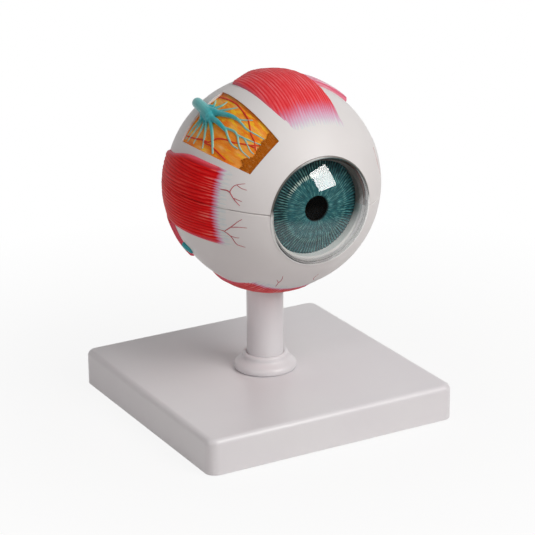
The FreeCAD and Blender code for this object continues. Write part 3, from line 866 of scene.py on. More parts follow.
# %% Frosted and painted edges of the cornea
def edge_material(name, roughness, tone, scale, darkest, brightest=1.0, **sockets):
    """Cut edge: tone(tree, place) gives its colour, and fine noise breaks that up."""
    material, tree, shader = new_material(name, roughness, **sockets)
    place = row_place(tree)
    grain = spread(tree, mottle(tree, place, scale), 0.3, 0.7, darkest, brightest)
    feed(tree, shader, colour_mix(tree, 1.0, tone(tree, place), grain, "MULTIPLY"))
    return material


def foot_shade_tone(tree, place):
    """Pale low down, darker towards the seam as painted shade."""
    rise = over_globe(tree, place, UP, -20, -8)
    return ramp(tree, rise, stops((0.0, 206, 208, 205), (1.0, 52, 82, 84)))


def side_shade_tone(tree, place):
    """Painted shade: dark on the temple side, pale on the nose side."""
    to_nose = over_globe(tree, place, SIDEWAYS, -12, -2)
    return ramp(tree, to_nose, stops((0.0, 46, 50, 50), (1.0, 176, 172, 168)))


def bead_highlight_and_shadow_tone(tree, place):
    """Painted highlight, white, below the seam but for a painted shadow, a dark crescent low on the temple
    side; dark teal painted shade above.
    """
    from_nose = over_globe(tree, place, SIDEWAYS, -12, -2, 1.0, 0.0)
    low_down = over_globe(tree, place, UP, -18, -11, 1.0, 0.0)
    crescent = calc(tree, "MULTIPLY", from_nose, low_down)
    low_tone = colour_mix(tree, crescent, paint(246, 246, 244), paint(40, 48, 48))
    return colour_mix(tree, over_globe(tree, place, UP, -1, 3), low_tone, paint(44, 68, 70))


def lip_highlight_and_shade_tone(tree, place):
    """Painted highlight, white, below the seam; painted shade, a dull grey, above."""
    above_seam = over_globe(tree, place, UP, -1, 3)
    return ramp(tree, above_seam, stops((0.0, 253, 253, 252), (1.0, 126, 121, 116)))


cornea_frost = edge_material("cornea_frosted_edge", 0.3, foot_shade_tone, scale=500.0, darkest=0.86, Alpha=0.45)
cornea_side = edge_material(
    "cornea_side_wall", 0.4, side_shade_tone, scale=500.0, darkest=0.9, brightest=1.05, Alpha=0.8,
)
cornea_bead = edge_material("cornea_bead", 0.3, bead_highlight_and_shadow_tone, scale=400.0, darkest=0.93)
cornea_rim = edge_material("cornea_rim", 0.3, lip_highlight_and_shade_tone, scale=400.0, darkest=0.94)

# %% A lathe about the optical axis
def lathe(name, profile, body, slot, materials, replaces=(), turns=192):
    """Solid turned about the optical axis; profile stops are (radius, forward, material index)."""
    points = []
    for radius, forward, _ in profile:
        for angle in around(turns):
            points.append(Vector((radius * math.cos(angle), -forward, radius * math.sin(angle))))
    faces = tube_faces(len(profile), turns)
    piece = make_piece(name, points, faces, body, slot, materials[0], replaces=replaces)
    for material in materials[1:]:
        piece.data.materials.append(material)
    for row, stop in enumerate(profile[:-1]):
        for face in piece.data.polygons[row * turns:(row + 1) * turns]:
            face.material_index = stop[2]
    piece.data.polygons[-1].material_index = profile[-2][2]
    return piece


def arc(radius, centre, start, end, steps, index):
    """Profile stops on a circle about the axis, between two angles from the axis."""
    arc_stops = []
    for step in range(steps):
        angle = start + (end - start) * step / (steps - 1)
        arc_stops.append((max(radius * math.sin(angle), 0.05), centre + radius * math.cos(angle), index))
    return arc_stops


# %% Cornea cap
CORNEA_HEIGHT = 14.0
CORNEA_WALL = 1.8
CORNEA_FLANGE = 1.5
CLEAR, INSIDE, FROST, SIDE, BEAD, RIM = range(6)
BEAD_WIDTH = 0.5
RIM_EDGE = 31.05

dome_radius = (CORNEA_RIM ** 2 + CORNEA_HEIGHT ** 2) / (2 * CORNEA_HEIGHT)
dome_centre = rim_front + CORNEA_HEIGHT - dome_radius
flange_back = rim_front - CORNEA_FLANGE
outer_end = math.asin((CORNEA_RIM - BEAD_WIDTH) / dome_radius)
inner_radius = dome_radius - CORNEA_WALL
inner_start = math.acos((flange_back - dome_centre) / inner_radius)
foot_inside = inner_radius * math.sin(inner_start) + 0.5
cap_profile = arc(dome_radius, dome_centre, 0.0, outer_end, 60, CLEAR)
cap_profile[-1] = (*cap_profile[-1][:2], BEAD)
cap_profile += [
    (CORNEA_RIM - 0.3, rim_front + 0.4, BEAD), (CORNEA_RIM, rim_front + 0.2, RIM),
    (RIM_EDGE - 0.5, rim_front + 0.06, RIM), (RIM_EDGE - 0.15, rim_front - 0.15, RIM),
    (RIM_EDGE, rim_front - 0.32, RIM), (RIM_EDGE - 0.1, rim_front - 0.34, SIDE),
    (CORNEA_RIM, rim_front - 0.48, SIDE), (CORNEA_RIM, flange_back + 0.2, FROST),
    (CORNEA_RIM - 0.2, flange_back, INSIDE), (foot_inside, flange_back, FROST),
]
cap_profile += arc(inner_radius, dome_centre, inner_start, inner_start - 0.012, 2, FROST)
cap_profile += arc(inner_radius, dome_centre, inner_start - 0.02, 0.0, 56, INSIDE)
cap_materials = [cornea_clear, cornea_inside, cornea_frost, cornea_side, cornea_bead, cornea_rim]
cornea_cap = lathe("cornea_cap", cap_profile, "globe_lower", "cornea_clear", cap_materials, ("cornea",))

# %% [markdown]
# ## Limbus, ciliary body, choroid and retina
# Behind the cornea's foot a ring wall carries the iris. Its lower half is nearly
# white at the bottom and fades to a dark teal grey towards the seam, painted
# shade where the wall lies in shadow, and its upper half is a plain grey, painted
# shade all over. Inside the globe the choroid is brown and spongy,
# and the retina is orange with a fine mottle.

# %% Inner materials
def painted(name, screen_stops, scale, roughness, depth):
    """Hand-painted surface: a ramp over noise, with the brush's roughness as bump."""
    material, tree, shader = new_material(name, roughness)
    place = row_place(tree)
    tone = mottle(tree, place, scale, 5.0, 0.6)
    feed(tree, shader, ramp(tree, tone, stops(*screen_stops)))
    bump(tree, shader, mottle(tree, place, scale * 5), depth)
    return material


limbus_shaded_upwards, tree, shader = new_material("limbus_shaded_upwards", 0.3)
place = row_place(tree)
# Painted shade: white at the bottom, darkening to a dark teal grey towards the seam.
pale = ramp(tree, over_globe(tree, place, UP, -28, 0), stops(
    (0.0, 252, 251, 248), (0.42, 234, 232, 227), (0.72, 132, 146, 144), (1.0, 66, 96, 96),
))
brushed = spread(tree, mottle(tree, place, 60.0, 5.0, 0.6), 0.35, 0.65, 0.94, 1.0)
feed(tree, shader, colour_mix(tree, 1.0, pale, brushed, "MULTIPLY"))
bump(tree, shader, mottle(tree, place, 300.0), 0.00008)

# Painted shade: the upper ring wall is a plain grey.
limbus_painted_shade = painted(
    "limbus_painted_shade", [(0.35, 92, 90, 87), (0.65, 118, 116, 111)], scale=60.0, roughness=0.5, depth=0.00008,
)
choroid_brown = painted(
    "choroid_paint", [(0.3, 92, 44, 26), (0.5, 124, 62, 34), (0.7, 158, 84, 46)],
    scale=70.0, roughness=0.55, depth=0.00025,
)
retina_orange = painted(
    "retina_paint", [(0.3, 214, 112, 62), (0.5, 228, 134, 80), (0.7, 238, 158, 104)],
    scale=45.0, roughness=0.45, depth=0.00012,
)
nerve_sheath = painted(
    "nerve_sheath_paint", [(0.35, 226, 214, 192), (0.65, 240, 232, 214)],
    scale=80.0, roughness=0.45, depth=0.0001,
)
for part, lower_finish, upper_finish in (
    ("ciliary_body", limbus_shaded_upwards, limbus_painted_shade), ("choroid", choroid_brown, choroid_brown),
    ("retina", retina_orange, retina_orange), ("optic_nerve_sheath", nerve_sheath, nerve_sheath),
):
    dress([f"{part}_lower"], lower_finish)
    dress([f"{part}_upper"], upper_finish)

# %% Optic nerve fibres
nerve_core, tree, shader = new_material("nerve_fibres", 0.5)
cells = put(tree, "TexVoronoi", {"Vector": row_place(tree), "Scale": 900.0}).outputs["Distance"]
feed(tree, shader, ramp(tree, cells, stops((0.1, 246, 222, 140), (0.45, 226, 180, 84))))
bump(tree, shader, calc(tree, "SUBTRACT", 1.0, cells), 0.0004)
dress(["optic_nerve_core_lower", "optic_nerve_core_upper"], nerve_core)

# %% Lens and vitreous body
# Both tints are darker than clear acrylic: painted shade that keeps the inside of the eye dark through the
# pupil.
lens_clear = clear_material("lens_acrylic", (0.74, 0.73, 0.70, 1), face_on=0.006)
vitreous_clear = clear_material("vitreous_acrylic", (0.81, 0.86, 0.88, 1), face_on=0.006)
dress(["lens"], lens_clear)
dress(["vitreous_body"], vitreous_clear)

# %% [markdown]
# ## The window in the side
# A window cut in the upper half of the sclera shows the choroid: orange and
# yellow patches in long brush strokes, with a ragged brown band in front that
# stands for the edge of the ciliary body. The panel is a patch of a ball just
# under the sclera. Its four edges are arcs of great circles, the shortest ways
# between its corners, so a spherical blend of the corners fills it. Its colours
# come from noise that is stretched along the strokes. A browner tone, painted
# shade under the sclera's cut wall, creeps in from its upper edge, where the panel
# rises in a small lip, and more faintly from its lower and rear edges.

# %% Window panel
WINDOW_CORNERS = [(47.5, 121.3), (47.5, 152.3), (101.5, 155.3), (101.5, 120.5)]
WINDOW_CLOCK = 137.5
SCLERA_INNER = 57.0
PANEL_RADIUS = 58.8
PANEL_LIP = 0.8
PANEL_WIDTH = 32
PANEL_LENGTH = 54
STROKE_STRETCH = 0.35

panel_paint, tree, shader = new_material("choroid_window_paint", 0.4, Specular_IOR_Level=0.1)
along_way, across_way, to_shaded_edge = axes(tree, stored(tree, "strand", "Vector"))
along_stroke = calc(tree, "MULTIPLY", along_way, STROKE_STRETCH)
stroke = put(tree, "CombineXYZ", {"X": along_stroke, "Y": across_way}).outputs[0]
patch = mottle(tree, stroke, 0.17, 2.0)
brush = mottle(tree, stroke, 1.0, 4.0, 0.65)
orange = ramp(tree, patch, stops(
    (0.34, 245, 128, 36), (0.48, 252, 150, 46), (0.60, 253, 174, 80), (0.70, 250, 200, 136),
))
orange = colour_mix(tree, spread(tree, brush, 0.42, 0.7, 0.0, 0.45), orange, paint(235, 118, 46))
more_above = spread(tree, across_way, -14.0, 4.0, 0.09, -0.02)
yellow_patch = calc(tree, "ADD", mottle(tree, stroke, 0.42), more_above)
orange = colour_mix(tree, spread(tree, yellow_patch, 0.55, 0.66, 0.0, 0.85), orange, paint(254, 200, 48))
edge_shade_reach = calc(tree, "ADD", to_shaded_edge, calc(tree, "MULTIPLY", brush, 1.6))
# Painted shade: brown creeps in from the panel's edges, strongest under the upper cut wall.
orange = colour_mix(tree, spread(tree, edge_shade_reach, 0.9, 2.4, 0.85, 0.0), orange, paint(178, 98, 40))
feed(tree, shader, orange)
bump(tree, shader, brush, 0.0003)


def slerp(start, end, share):
    """Unit vector on the great circle from one to another."""
    angle = start.angle(end)
    return (start * math.sin((1 - share) * angle) + end * math.sin(share * angle)) / math.sin(angle)


def angles(toward):
    """Polar and clock angle of a unit vector, in degrees."""
    polar = math.degrees(math.acos(-toward.y))
    return polar, math.degrees(math.atan2(toward.z, toward.x)) % 360


def window_toward(across, along):
    """Unit vector in the window; across runs from its upper to its lower edge, along to its rear."""
    front_up, front_low, rear_low, rear_up = [direction(*corner) for corner in WINDOW_CORNERS]
    return slerp(slerp(front_up, front_low, across), slerp(rear_up, rear_low, across), along)


def patch_on_ball(name, body, slot, material, place, height, rows, columns, low, replaces=()):
    """Closed patch; place(u, v) gives (direction, strand) and height its radius in mm."""
    top = []
    bottom = []
    strands = []
    for row in range(rows):
        for column in range(columns):
            toward, strand_value = place(column / (columns - 1), row / (rows - 1))
            top.append(toward * height(strand_value))
            bottom.append(toward * low)
            strands.append(strand_value)
    faces = sheet_faces(rows, columns)
    return make_piece(name, top + bottom, faces, body, slot, material, strands * 2, replaces=replaces)


def panel_place(across, along):
    """Place on the panel; the strand holds polar, clock and the distance to an edge browned with painted
    shade.
    """
    toward = window_toward(across, along)
    polar, clock = angles(toward)
    edge = min(across * PANEL_WIDTH, (1 - across) * PANEL_WIDTH + 1.0, (1 - along) * PANEL_LENGTH + 1.0)
    return toward, (polar, clock - WINDOW_CLOCK, edge)


def panel_height(strand_value):
    """Gently lumpy panel."""
    polar, clock, edge = strand_value
    lump = noise.noise(Vector((polar * 0.12, clock * 0.3, 0.0)))
    ripple = noise.noise(Vector((polar * 0.3, clock * 0.8, 4.0)))
    lip = PANEL_LIP * (1 - smooth_step(edge / 1.6)) ** 2
    return PANEL_RADIUS + lump * 0.14 + ripple * 0.06 + lip


patch_on_ball("window_choroid", "globe_upper", "choroid_orange", panel_paint, panel_place, panel_height,
              rows=100, columns=70, low=SCLERA_INNER + 0.02, replaces=("window_panel",))

# %% Brown band at the front of the window
BAND_EDGE = [
    (54.7, 120.0), (54.7, 122.8), (53.2, 126.7), (53.7, 130.1), (52.6, 132.5), (52.3, 136.2),
    (51.3, 140.0), (52.3, 143.2), (54.8, 145.2), (55.4, 147.4), (53.7, 149.9), (54.2, 151.8),
    (54.4, 156.0),
]
BAND_SWIRL = [(54.8, 146.5), (51.6, 148.4), (51.5, 151.7)]
WELT_HEIGHT = 0.18
WELT_RADIUS = 1.3
BAND_SHARE = 0.22

band_paint, tree, shader = new_material("ciliary_band_paint", 0.6, Specular_IOR_Level=0.1)
strand = stored(tree, "strand", "Vector")
grit = mottle(tree, strand, 1.6, 5.0, 0.7)
swirl = mottle(tree, strand, 0.55, 2.0)
brown = ramp(tree, grit, stops((0.3, 146, 70, 4), (0.5, 182, 94, 8), (0.7, 204, 118, 22)))
brown = colour_mix(tree, spread(tree, swirl, 0.56, 0.66, 0.0, 0.4), brown, paint(204, 146, 84))
feed(tree, shader, brown)
bump(tree, shader, grit, 0.0005)


def band_back(clock):
    """Ragged back edge of the band at a clock angle."""
    for (polar, at), (next_polar, next_at) in zip(BAND_EDGE, BAND_EDGE[1:]):
        if clock <= next_at:
            edge = polar + (next_polar - polar) * smooth_step((clock - at) / (next_at - at))
            break
    teeth = noise.noise(Vector((clock * 0.9, 3.0, 0.0))) * 0.9
    return edge + teeth + noise.noise(Vector((clock * 2.6, 8.0, 0.0))) * 0.5


def band_place(across, along):
    """Place on the band; the strand's last value is how far in front of its back edge, in degrees."""
    front = window_toward(across, 0.0)
    rear = window_toward(across, BAND_SHARE)
    front_polar = angles(front)[0]
    rear_polar, clock = angles(rear)
    back = band_back(clock)
    toward = slerp(front, rear, along * min((back - front_polar) / (rear_polar - front_polar), 1.0))
    polar, clock = angles(toward)
    return toward, (polar, clock - WINDOW_CLOCK, back - polar)


def band_height(strand_value):
    """Grainy band with a few curled welts, that falls off at its back edge."""
    polar, clock, edge = strand_value
    grain = noise.noise(Vector((polar * 1.1, clock * 1.1, 0.0))) * 0.12
    welt = 0.0
    for welt_polar, welt_clock in BAND_SWIRL:
        away = math.hypot(polar - welt_polar, clock + WINDOW_CLOCK - welt_clock)
        welt += WELT_HEIGHT * math.exp(-((away - WELT_RADIUS) / 0.5) ** 2)
    return PANEL_RADIUS - 0.1 + (0.5 + grain + welt) * rounded_edge(edge + 0.15, 1.0)


patch_on_ball("window_band", "globe_upper", "ciliary_brown", band_paint, band_place, band_height,
              rows=30, columns=150, low=PANEL_RADIUS - 0.4, replaces=("window_ciliary_band",))

# %% [markdown]
# ## Veins and arteries
# Painted vessels are fine raised lines. Each is a tube that follows a smooth
# curve over the ball and thins towards its tip. Its centre lies close to the
# surface, so about half of it stands out, like a bead of thick paint.

# %% Tubes along a route
def vessel_tube(points, faces, route, start_radius, end_radius, level, squash=1.0, sides=8, step=0.8,
                round_tips=False):
    """Append a tapered tube to a mesh; its route is (polar, clock) stops, or with mm over the level."""
    places = [direction(*stop[:2]) * (level + sum(stop[2:])) for stop in route]
    length = sum((b - a).length for a, b in zip(places, places[1:]))
    count = max(int(length / step), 3)
    line = [Vector(through(places, index / count)) for index in range(count + 1)]
    first = len(points)
    for index, centre in enumerate(line):
        heading = (line[min(index + 1, count)] - line[max(index - 1, 0)]).normalized()
        up = centre.normalized()
        side = heading.cross(up).normalized()
        up = side.cross(heading)
        share = index / count
        radius = start_radius + (end_radius - start_radius) * share
        if round_tips:
            radius *= rounded_edge(min(share, 1 - share) * length + 0.12, 0.6)
        for angle in around(sides):
            sideways = side * (radius * math.cos(angle))
            points.append(centre + sideways + up * (radius * squash * math.sin(angle)))
    faces += tube_faces(count + 1, sides, first, flip=True)


def vessels(name, body, slot, material, routes, level):
    """One piece that holds many painted vessels; each route ends with its two radii."""
    points = []
    faces = []
    for route, start_radius, end_radius in routes:
        vessel_tube(points, faces, route, start_radius, end_radius, level, squash=0.6, round_tips=True)
    return make_piece(name, points, faces, body, slot, material)


artery_red = painted(
    "artery_paint", [(0.35, 206, 44, 10), (0.65, 230, 70, 22)], scale=220.0, roughness=0.6, depth=0.00005,
)
vessel_red = painted(
    "scleral_vessel_paint", [(0.35, 168, 52, 64), (0.65, 190, 82, 92)],
    scale=220.0, roughness=0.45, depth=0.00003,
)

# %% Arteries on the window
vessels("window_arteries", "globe_upper", "muscle_red", artery_red, [
    ([(101, 123.9), (94, 123.2), (86.7, 122.6), (81.3, 122.8), (73.7, 124.1), (68.5, 125.6),
      (63.6, 128.8), (60, 131.2), (56.1, 133.2), (52.6, 137)], 0.6, 0.4),
    ([(57.3, 136.9), (54.9, 134.8), (52.6, 132.9)], 0.4, 0.35),
    ([(76.5, 145.7), (75.1, 144.1), (70.5, 142.2), (65.4, 141.1), (60.7, 138.7), (57.3, 136.9),
      (54, 136)], 0.5, 0.4),
    ([(100.9, 151.6), (91.4, 150.6), (84.9, 149), (79.7, 148.4), (76.5, 145.9)], 0.55, 0.45),
    ([(84.9, 149), (80.6, 149.6), (76.4, 149.4), (71.2, 150.3), (66.4, 151.4), (63.6, 152)], 0.5, 0.42),
], PANEL_RADIUS + 0.1)

# %% Vessels on the sclera
UPPER_VESSELS = [
    ([(62.2, 169.1), (58.7, 168.6), (55.8, 168.1), (53.5, 168.9)], 0.42, 0.34),
    ([(54.2, 168.7), (53.7, 165.9), (52, 162.7), (47.7, 159.5)], 0.3, 0.16),
    ([(51.5, 162.6), (48.9, 163.5), (45.6, 163.3)], 0.24, 0.14),
    ([(54, 168.8), (51.4, 171.8), (49.1, 174), (47.3, 175.6)], 0.32, 0.17),
    ([(51.6, 171.5), (48.9, 171.9), (46.6, 172.3)], 0.24, 0.14),
    ([(56, 33), (52, 24), (53, 14)], 0.22, 0.13),
]
LOWER_VESSELS = [
    ([(61.5, -166.4), (58.6, -165.9), (55.7, -164.9)], 0.42, 0.34),
    ([(56.2, -165), (52.1, -168.3), (47.9, -172.8), (45.7, -174.7)], 0.32, 0.16),
    ([(52.2, -168.2), (48.1, -168.6), (43.2, -168.2)], 0.26, 0.14),
    ([(56.2, -165), (53, -161.6), (51.2, -155.8), (49, -153.7), (46.9, -152.2)], 0.32, 0.16),
    ([(53.3, -162), (50.8, -160.7), (48.4, -160.2)], 0.24, 0.14),
    ([(58, -104), (52, -107), (49, -111)], 0.3, 0.16),
    ([(52, -107), (48, -108), (44, -111)], 0.26, 0.14),
    ([(50, -80), (46, -82), (42, -80)], 0.24, 0.14),
]
for half, routes in (("upper", UPPER_VESSELS), ("lower", LOWER_VESSELS)):
    vessels(f"scleral_vessels_{half}", f"globe_{half}", "muscle_red", vessel_red, routes, GLOBE_RADIUS)

# %% [markdown]
# ## The vein tree
# The big vortex vein is cast separately: a fat trunk that lies over the sclera,
# dips into the window and spreads into roots. Where tubes meet they should
# flow together like wax. So the tubes are first built roughly, then a voxel
# remesh melts them into one skin, and a smoothing pass softens the crotches.
# The paint is thin and pale where a root sinks into the panel, full teal on its
# back, and a little paler again on top of the trunk, a painted highlight.

# %% Vein material
LOWEST_VEIN = 0.0583
HIGHEST_VEIN = 0.0640

vein_paint, tree, shader = new_material("vein_paint", 0.34, Specular_IOR_Level=0.25)
place = row_place(tree)
from_centre = put(tree, "VectorMath", {0: place, 1: centre_in_row}, operation="SUBTRACT").outputs[0]
rise = spread(tree, length_of(tree, from_centre), LOWEST_VEIN, HIGHEST_VEIN)
wash = mottle(tree, place, 130.0, 3.0)
# The highest stop is paler: a painted highlight on top of the trunk.
teal = ramp(tree, rise, stops(
    (0.0, 192, 210, 188), (0.15, 156, 200, 186), (0.25, 98, 182, 176), (0.34, 52, 166, 176),
    (0.62, 58, 168, 176), (1.0, 102, 190, 192),
))
feed(tree, shader, colour_mix(tree, spread(tree, wash, 0.42, 0.66, 0.0, 0.28), teal, paint(146, 198, 192)))
bump(tree, shader, wash, 0.0002)

# %% Vein tree mesh
VEIN_ROUTES = [
    ([(110, 133.3, 3.0), (107, 133.7, 3.8), (103, 134.2, 3.5), (98, 134.8, 2.6), (93, 135.6, 1.6),
      (89.5, 136.3, 0.9)], 3.0, 3.3),
    ([(95, 135.0, 1.8), (91, 133.8, 1.2), (87, 133.0, 0.9)], 3.0, 1.9),
    ([(95, 136.0, 1.8), (91.5, 137.4, 1.2), (88.0, 138.6, 0.9)], 3.0, 1.9),
    ([(96, 136, 1.8), (94.5, 138.4, 1.0), (93, 140.2, 0.6)], 2.8, 1.7),
    ([(97, 134.4, 2.0), (95.5, 132.6, 1.2), (93.5, 131.2, 0.7)], 2.6, 1.5),
    ([(89.5, 134.6, 1.1), (85.8, 132.6, 0.9), (81.2, 131, 0.7), (76.8, 129.7, 0.4),
      (73.1, 129.2, 0.3)], 1.9, 0.95),
    ([(73.1, 129.2, 0.3), (70, 127.1, 0.1), (66.5, 123.8, 0.0)], 0.62, 0.34),
    ([(74, 129.3, 0.3), (68.9, 129.7, 0.1), (64.7, 130.3, 0.1), (58.9, 129.1, 0.0),
      (53.6, 127.6, 0.0)], 0.72, 0.34),
    ([(89, 137.4, 1.1), (84, 136.7, 0.8), (77.8, 137.4, 0.4), (73.4, 138.1, 0.2)], 1.9, 0.95),
    ([(76, 137.3, 0.3), (70, 135.8, 0.2), (66.3, 136.5, 0.1), (63.1, 139.3, 0.1), (59.1, 142.1, 0.0),
      (52.6, 143.3, 0.0)], 0.8, 0.36),
    ([(66.8, 136.3, 0.1), (61.9, 135.3, 0.1), (57.9, 134, 0.0), (52.6, 131.8, 0.0)], 0.62, 0.34),
    ([(62.2, 135.4, 0.1), (59, 136.8, 0.0), (54.9, 139.1, 0.0), (52, 139.5, 0.0)], 0.5, 0.34),
    ([(74, 138, 0.2), (69, 140.9, 0.1), (65, 142.6, 0.0), (61, 142.6, 0.0)], 0.72, 0.42),
    ([(88.5, 138.2, 1.0), (86, 139.2, 0.8), (80, 143.8, 0.2), (75.8, 148.3, 0.0),
      (72.6, 152.6, -0.1)], 1.3, 0.62),
    ([(90, 138.6, 0.9), (88.2, 141.3, 0.5), (83.8, 147.5, 0.0), (80.9, 153, -0.1)], 1.05, 0.45),
    ([(92, 139.3, 0.8), (90.1, 142.4, 0.4), (89.6, 147.6, 0.0), (89.7, 153.3, -0.1)], 1.0, 0.45),
    ([(94, 139.3, 0.8), (93.8, 142.8, 0.4), (94.7, 147.8, 0.0), (96.2, 154, -0.1)], 1.0, 0.45),
    ([(96, 139, 0.9), (96.4, 142.5, 0.4), (98.3, 146.3, 0.1), (99.7, 153.6, -0.1)], 0.95, 0.42),
    ([(94.5, 132.5, 1.0), (96.6, 129.3, 0.3), (100.6, 126.4, 0.0)], 1.0, 0.4),
    ([(92.5, 132, 1.0), (90.3, 128, 0.2), (89.9, 124.3, 0.0)], 1.0, 0.4),
    ([(88.5, 132.4, 0.9), (84.2, 128.2, 0.2), (80.1, 123.9, 0.0)], 0.95, 0.38),
]
MELT_VOXEL = 0.0002


def ball(points, faces, centre, radius, rings=12, sides=16):
    """Append a ball, which rounds off the end of a fat tube."""
    first = len(points)
    for ring in range(1, rings):
        tilt = math.pi * ring / rings
        for turn in around(sides):
            spoke = Vector((math.sin(tilt) * math.cos(turn), math.sin(tilt) * math.sin(turn), math.cos(tilt)))
            points.append(centre + spoke * radius)
    faces += tube_faces(rings - 1, sides, first, flip=True)


def melted(name, points, faces, body, slot, material, replaces, soften):
    """Union rough tubes by voxel remesh, soften them, and keep the result as the piece."""
    rough = make_piece(name, points, faces, body, slot, material, replaces=replaces)
    remesh = rough.modifiers.new("melt", "REMESH")
    remesh.mode = "VOXEL"
    remesh.voxel_size = MELT_VOXEL
    remesh.use_smooth_shade = True
    relax = rough.modifiers.new("soften", "SMOOTH")
    relax.iterations = soften
    relax.factor = 0.5
    graph = bpy.context.evaluated_depsgraph_get()
    final = bpy.data.meshes.new_from_object(rough.evaluated_get(graph))
    rough.modifiers.clear()
    rough.data = final
    final.materials.clear()
    final.materials.append(material)
    final.shade_smooth()
    print(f"{name} melted to {len(final.polygons)} faces")
    return rough


points = []
faces = []
for route, start_radius, end_radius in VEIN_ROUTES:
    vessel_tube(points, faces, route, start_radius, end_radius, PANEL_RADIUS, sides=14, step=0.7)
trunk = VEIN_ROUTES[0][0]
for stop, radius in ((trunk[0], 3.0), (trunk[-1], 2.9)):
    ball(points, faces, direction(*stop[:2]) * (PANEL_RADIUS + stop[2]), radius)
melted(
    "vein_tree_cast", points, faces, "globe_upper", "vein_teal", vein_paint, ("vortex_vein_tree",), soften=5,
)

# %% Vortex vein stubs
STUB_RADIUS = 1.9
STUB_END_RADIUS = 1.8


def vein_stubs(name, body, node, routes):
    """Short veins that come out of the sclera and lie back on it."""
    points = []
    faces = []
    for route in routes:
        vessel_tube(points, faces, route, STUB_RADIUS, STUB_END_RADIUS, GLOBE_RADIUS, sides=14, step=0.6)
    melted(name, points, faces, body, "vein_teal", vein_paint, (node,), soften=4)


vein_stubs("vortex_stubs_lower", "globe_lower", "vortex_veins_lower", [
    [(90.8, -143, -0.4), (94.5, -144, 0.3), (97.8, -145, 0.5)],
    [(112.4, -38, -0.4), (118, -39, 0.4), (123.6, -40, 0.5)],
])
vein_stubs("vortex_stub_upper", "globe_upper", "vortex_vein_upper", [
    [(112.4, 38, -0.4), (118, 39, 0.4), (123.6, 40, 0.5)],
])

# %% [markdown]
# ## Camera, light and floor
# The camera stands to the left of the eye's gaze and looks down on it through a
# long lens. One big softbox to the right and above lights the model and gives
# the square glint on the cornea. The catchlight is its twin and shines on the
# cornea alone, to make that glint brighter. Two soft fills lift the shadows, and
# light linking keeps their reflections off the cornea. The world adds only a
# weak fill, but reflections find a bright wall behind the model in it. The floor
# is pale and keeps the model's soft shadow. To the camera, and in reflections,
# floor and background glow white; to the lamps the floor is a plain pale surface.
# Only reflections of the far floor in front of the model are dark, like a room.

# %% Camera
CAMERA_PLACE = Vector((-0.5894, -1.0502, 0.5166))
CAMERA_YAW = 29.38
CAMERA_PITCH = -19.88
CAMERA_ROLL = -0.47
LENS_MM = 152.8
SENSOR_MM = 36.0


def standing(place, right, up, back):
    """Matrix of an object at a place, from its own three directions."""
    return Matrix.Translation(place) @ Matrix((right, up, back)).transposed().to_4x4()


yaw, pitch, roll = [math.radians(value) for value in (CAMERA_YAW, CAMERA_PITCH, CAMERA_ROLL)]
ahead = Vector((math.sin(yaw) * math.cos(pitch), math.cos(yaw) * math.cos(pitch), math.sin(pitch)))
level_right = Vector((math.cos(yaw), -math.sin(yaw), 0))
level_up = level_right.cross(ahead)
right = level_right * math.cos(roll) + level_up * math.sin(roll)
up = level_up * math.cos(roll) - level_right * math.sin(roll)
camera_data = bpy.data.cameras.new("camera")
camera_data.lens = LENS_MM
camera_data.sensor_width = SENSOR_MM
camera = add_object("camera", camera_data)
camera.matrix_world = standing(CAMERA_PLACE, right, up, -ahead)
bpy.context.scene.camera = camera
print("camera at", tuple(round(value, 3) for value in CAMERA_PLACE))

# %% Softbox and catchlight
SOFTBOX_TOWARD = Vector((0.310, -0.701, 0.578)).normalized()
SOFTBOX_RIGHT = Vector((0.47, 0.21, 0.01))
SOFTBOX_DISTANCE = 1.2
SOFTBOX_SIDE = 0.67
SOFTBOX_POWER = 9.8
SOFTBOX_COLOUR = (1.0, 0.985, 0.97)
CATCHLIGHT_POWER = 8.0
CATCHLIGHT_STEP = 0.01


def square_lamp(name, matrix, side, power, colour):
    """Square area lamp that shines along its own -z."""
    data = bpy.data.lights.new(name, "AREA")
    data.shape = "SQUARE"
    data.size = side
    data.energy = power
    data.color = colour
    lamp = add_object(name, data)
    lamp.matrix_world = matrix
    print(f"{name}: {power} W at", tuple(round(value, 2) for value in matrix.translation))
    return lamp


across_box = (SOFTBOX_RIGHT - SOFTBOX_TOWARD * SOFTBOX_RIGHT.dot(SOFTBOX_TOWARD)).normalized()
up_box = SOFTBOX_TOWARD.cross(across_box)
softbox_place = centre_in_row + SOFTBOX_TOWARD * SOFTBOX_DISTANCE
softbox_matrix = standing(softbox_place, across_box, up_box, SOFTBOX_TOWARD)
catchlight_matrix = Matrix.Translation(-SOFTBOX_TOWARD * CATCHLIGHT_STEP) @ softbox_matrix
square_lamp("softbox", softbox_matrix, SOFTBOX_SIDE, SOFTBOX_POWER, SOFTBOX_COLOUR)
catchlight = square_lamp("catchlight", catchlight_matrix, SOFTBOX_SIDE, CATCHLIGHT_POWER, SOFTBOX_COLOUR)
catchlight.visible_diffuse = False
glassy = bpy.data.collections.new("catchlight_receivers")
glassy.objects.link(cornea_cap)
catchlight.light_linking.receiver_collection = glassy

# %% Two soft fills
FILL_SIDE = 0.9

no_glint = bpy.data.collections.new("fills_miss_the_cornea")
no_glint.objects.link(cornea_cap)
no_glint.collection_objects[0].light_linking.link_state = "EXCLUDE"
for name, place, power, colour in (
    ("overhead", Vector((0.45, -0.1, 1.2)), 1.6, (0.97, 0.98, 1.0)),
    ("left_fill", Vector((-1.1, -0.55, 0.55)), 3.0, (1.0, 0.95, 0.95)),
):
    turn = (place - centre_in_row).normalized().to_track_quat("Z", "Y").to_matrix().to_4x4()
    fill = square_lamp(name, Matrix.Translation(place) @ turn, FILL_SIDE, power, colour)
    fill.light_linking.receiver_collection = no_glint

# %% World
WORLD_FILL = 0.16
BACK_WALL = 1.0
DARK = (0.04, 0.04, 0.04, 1)


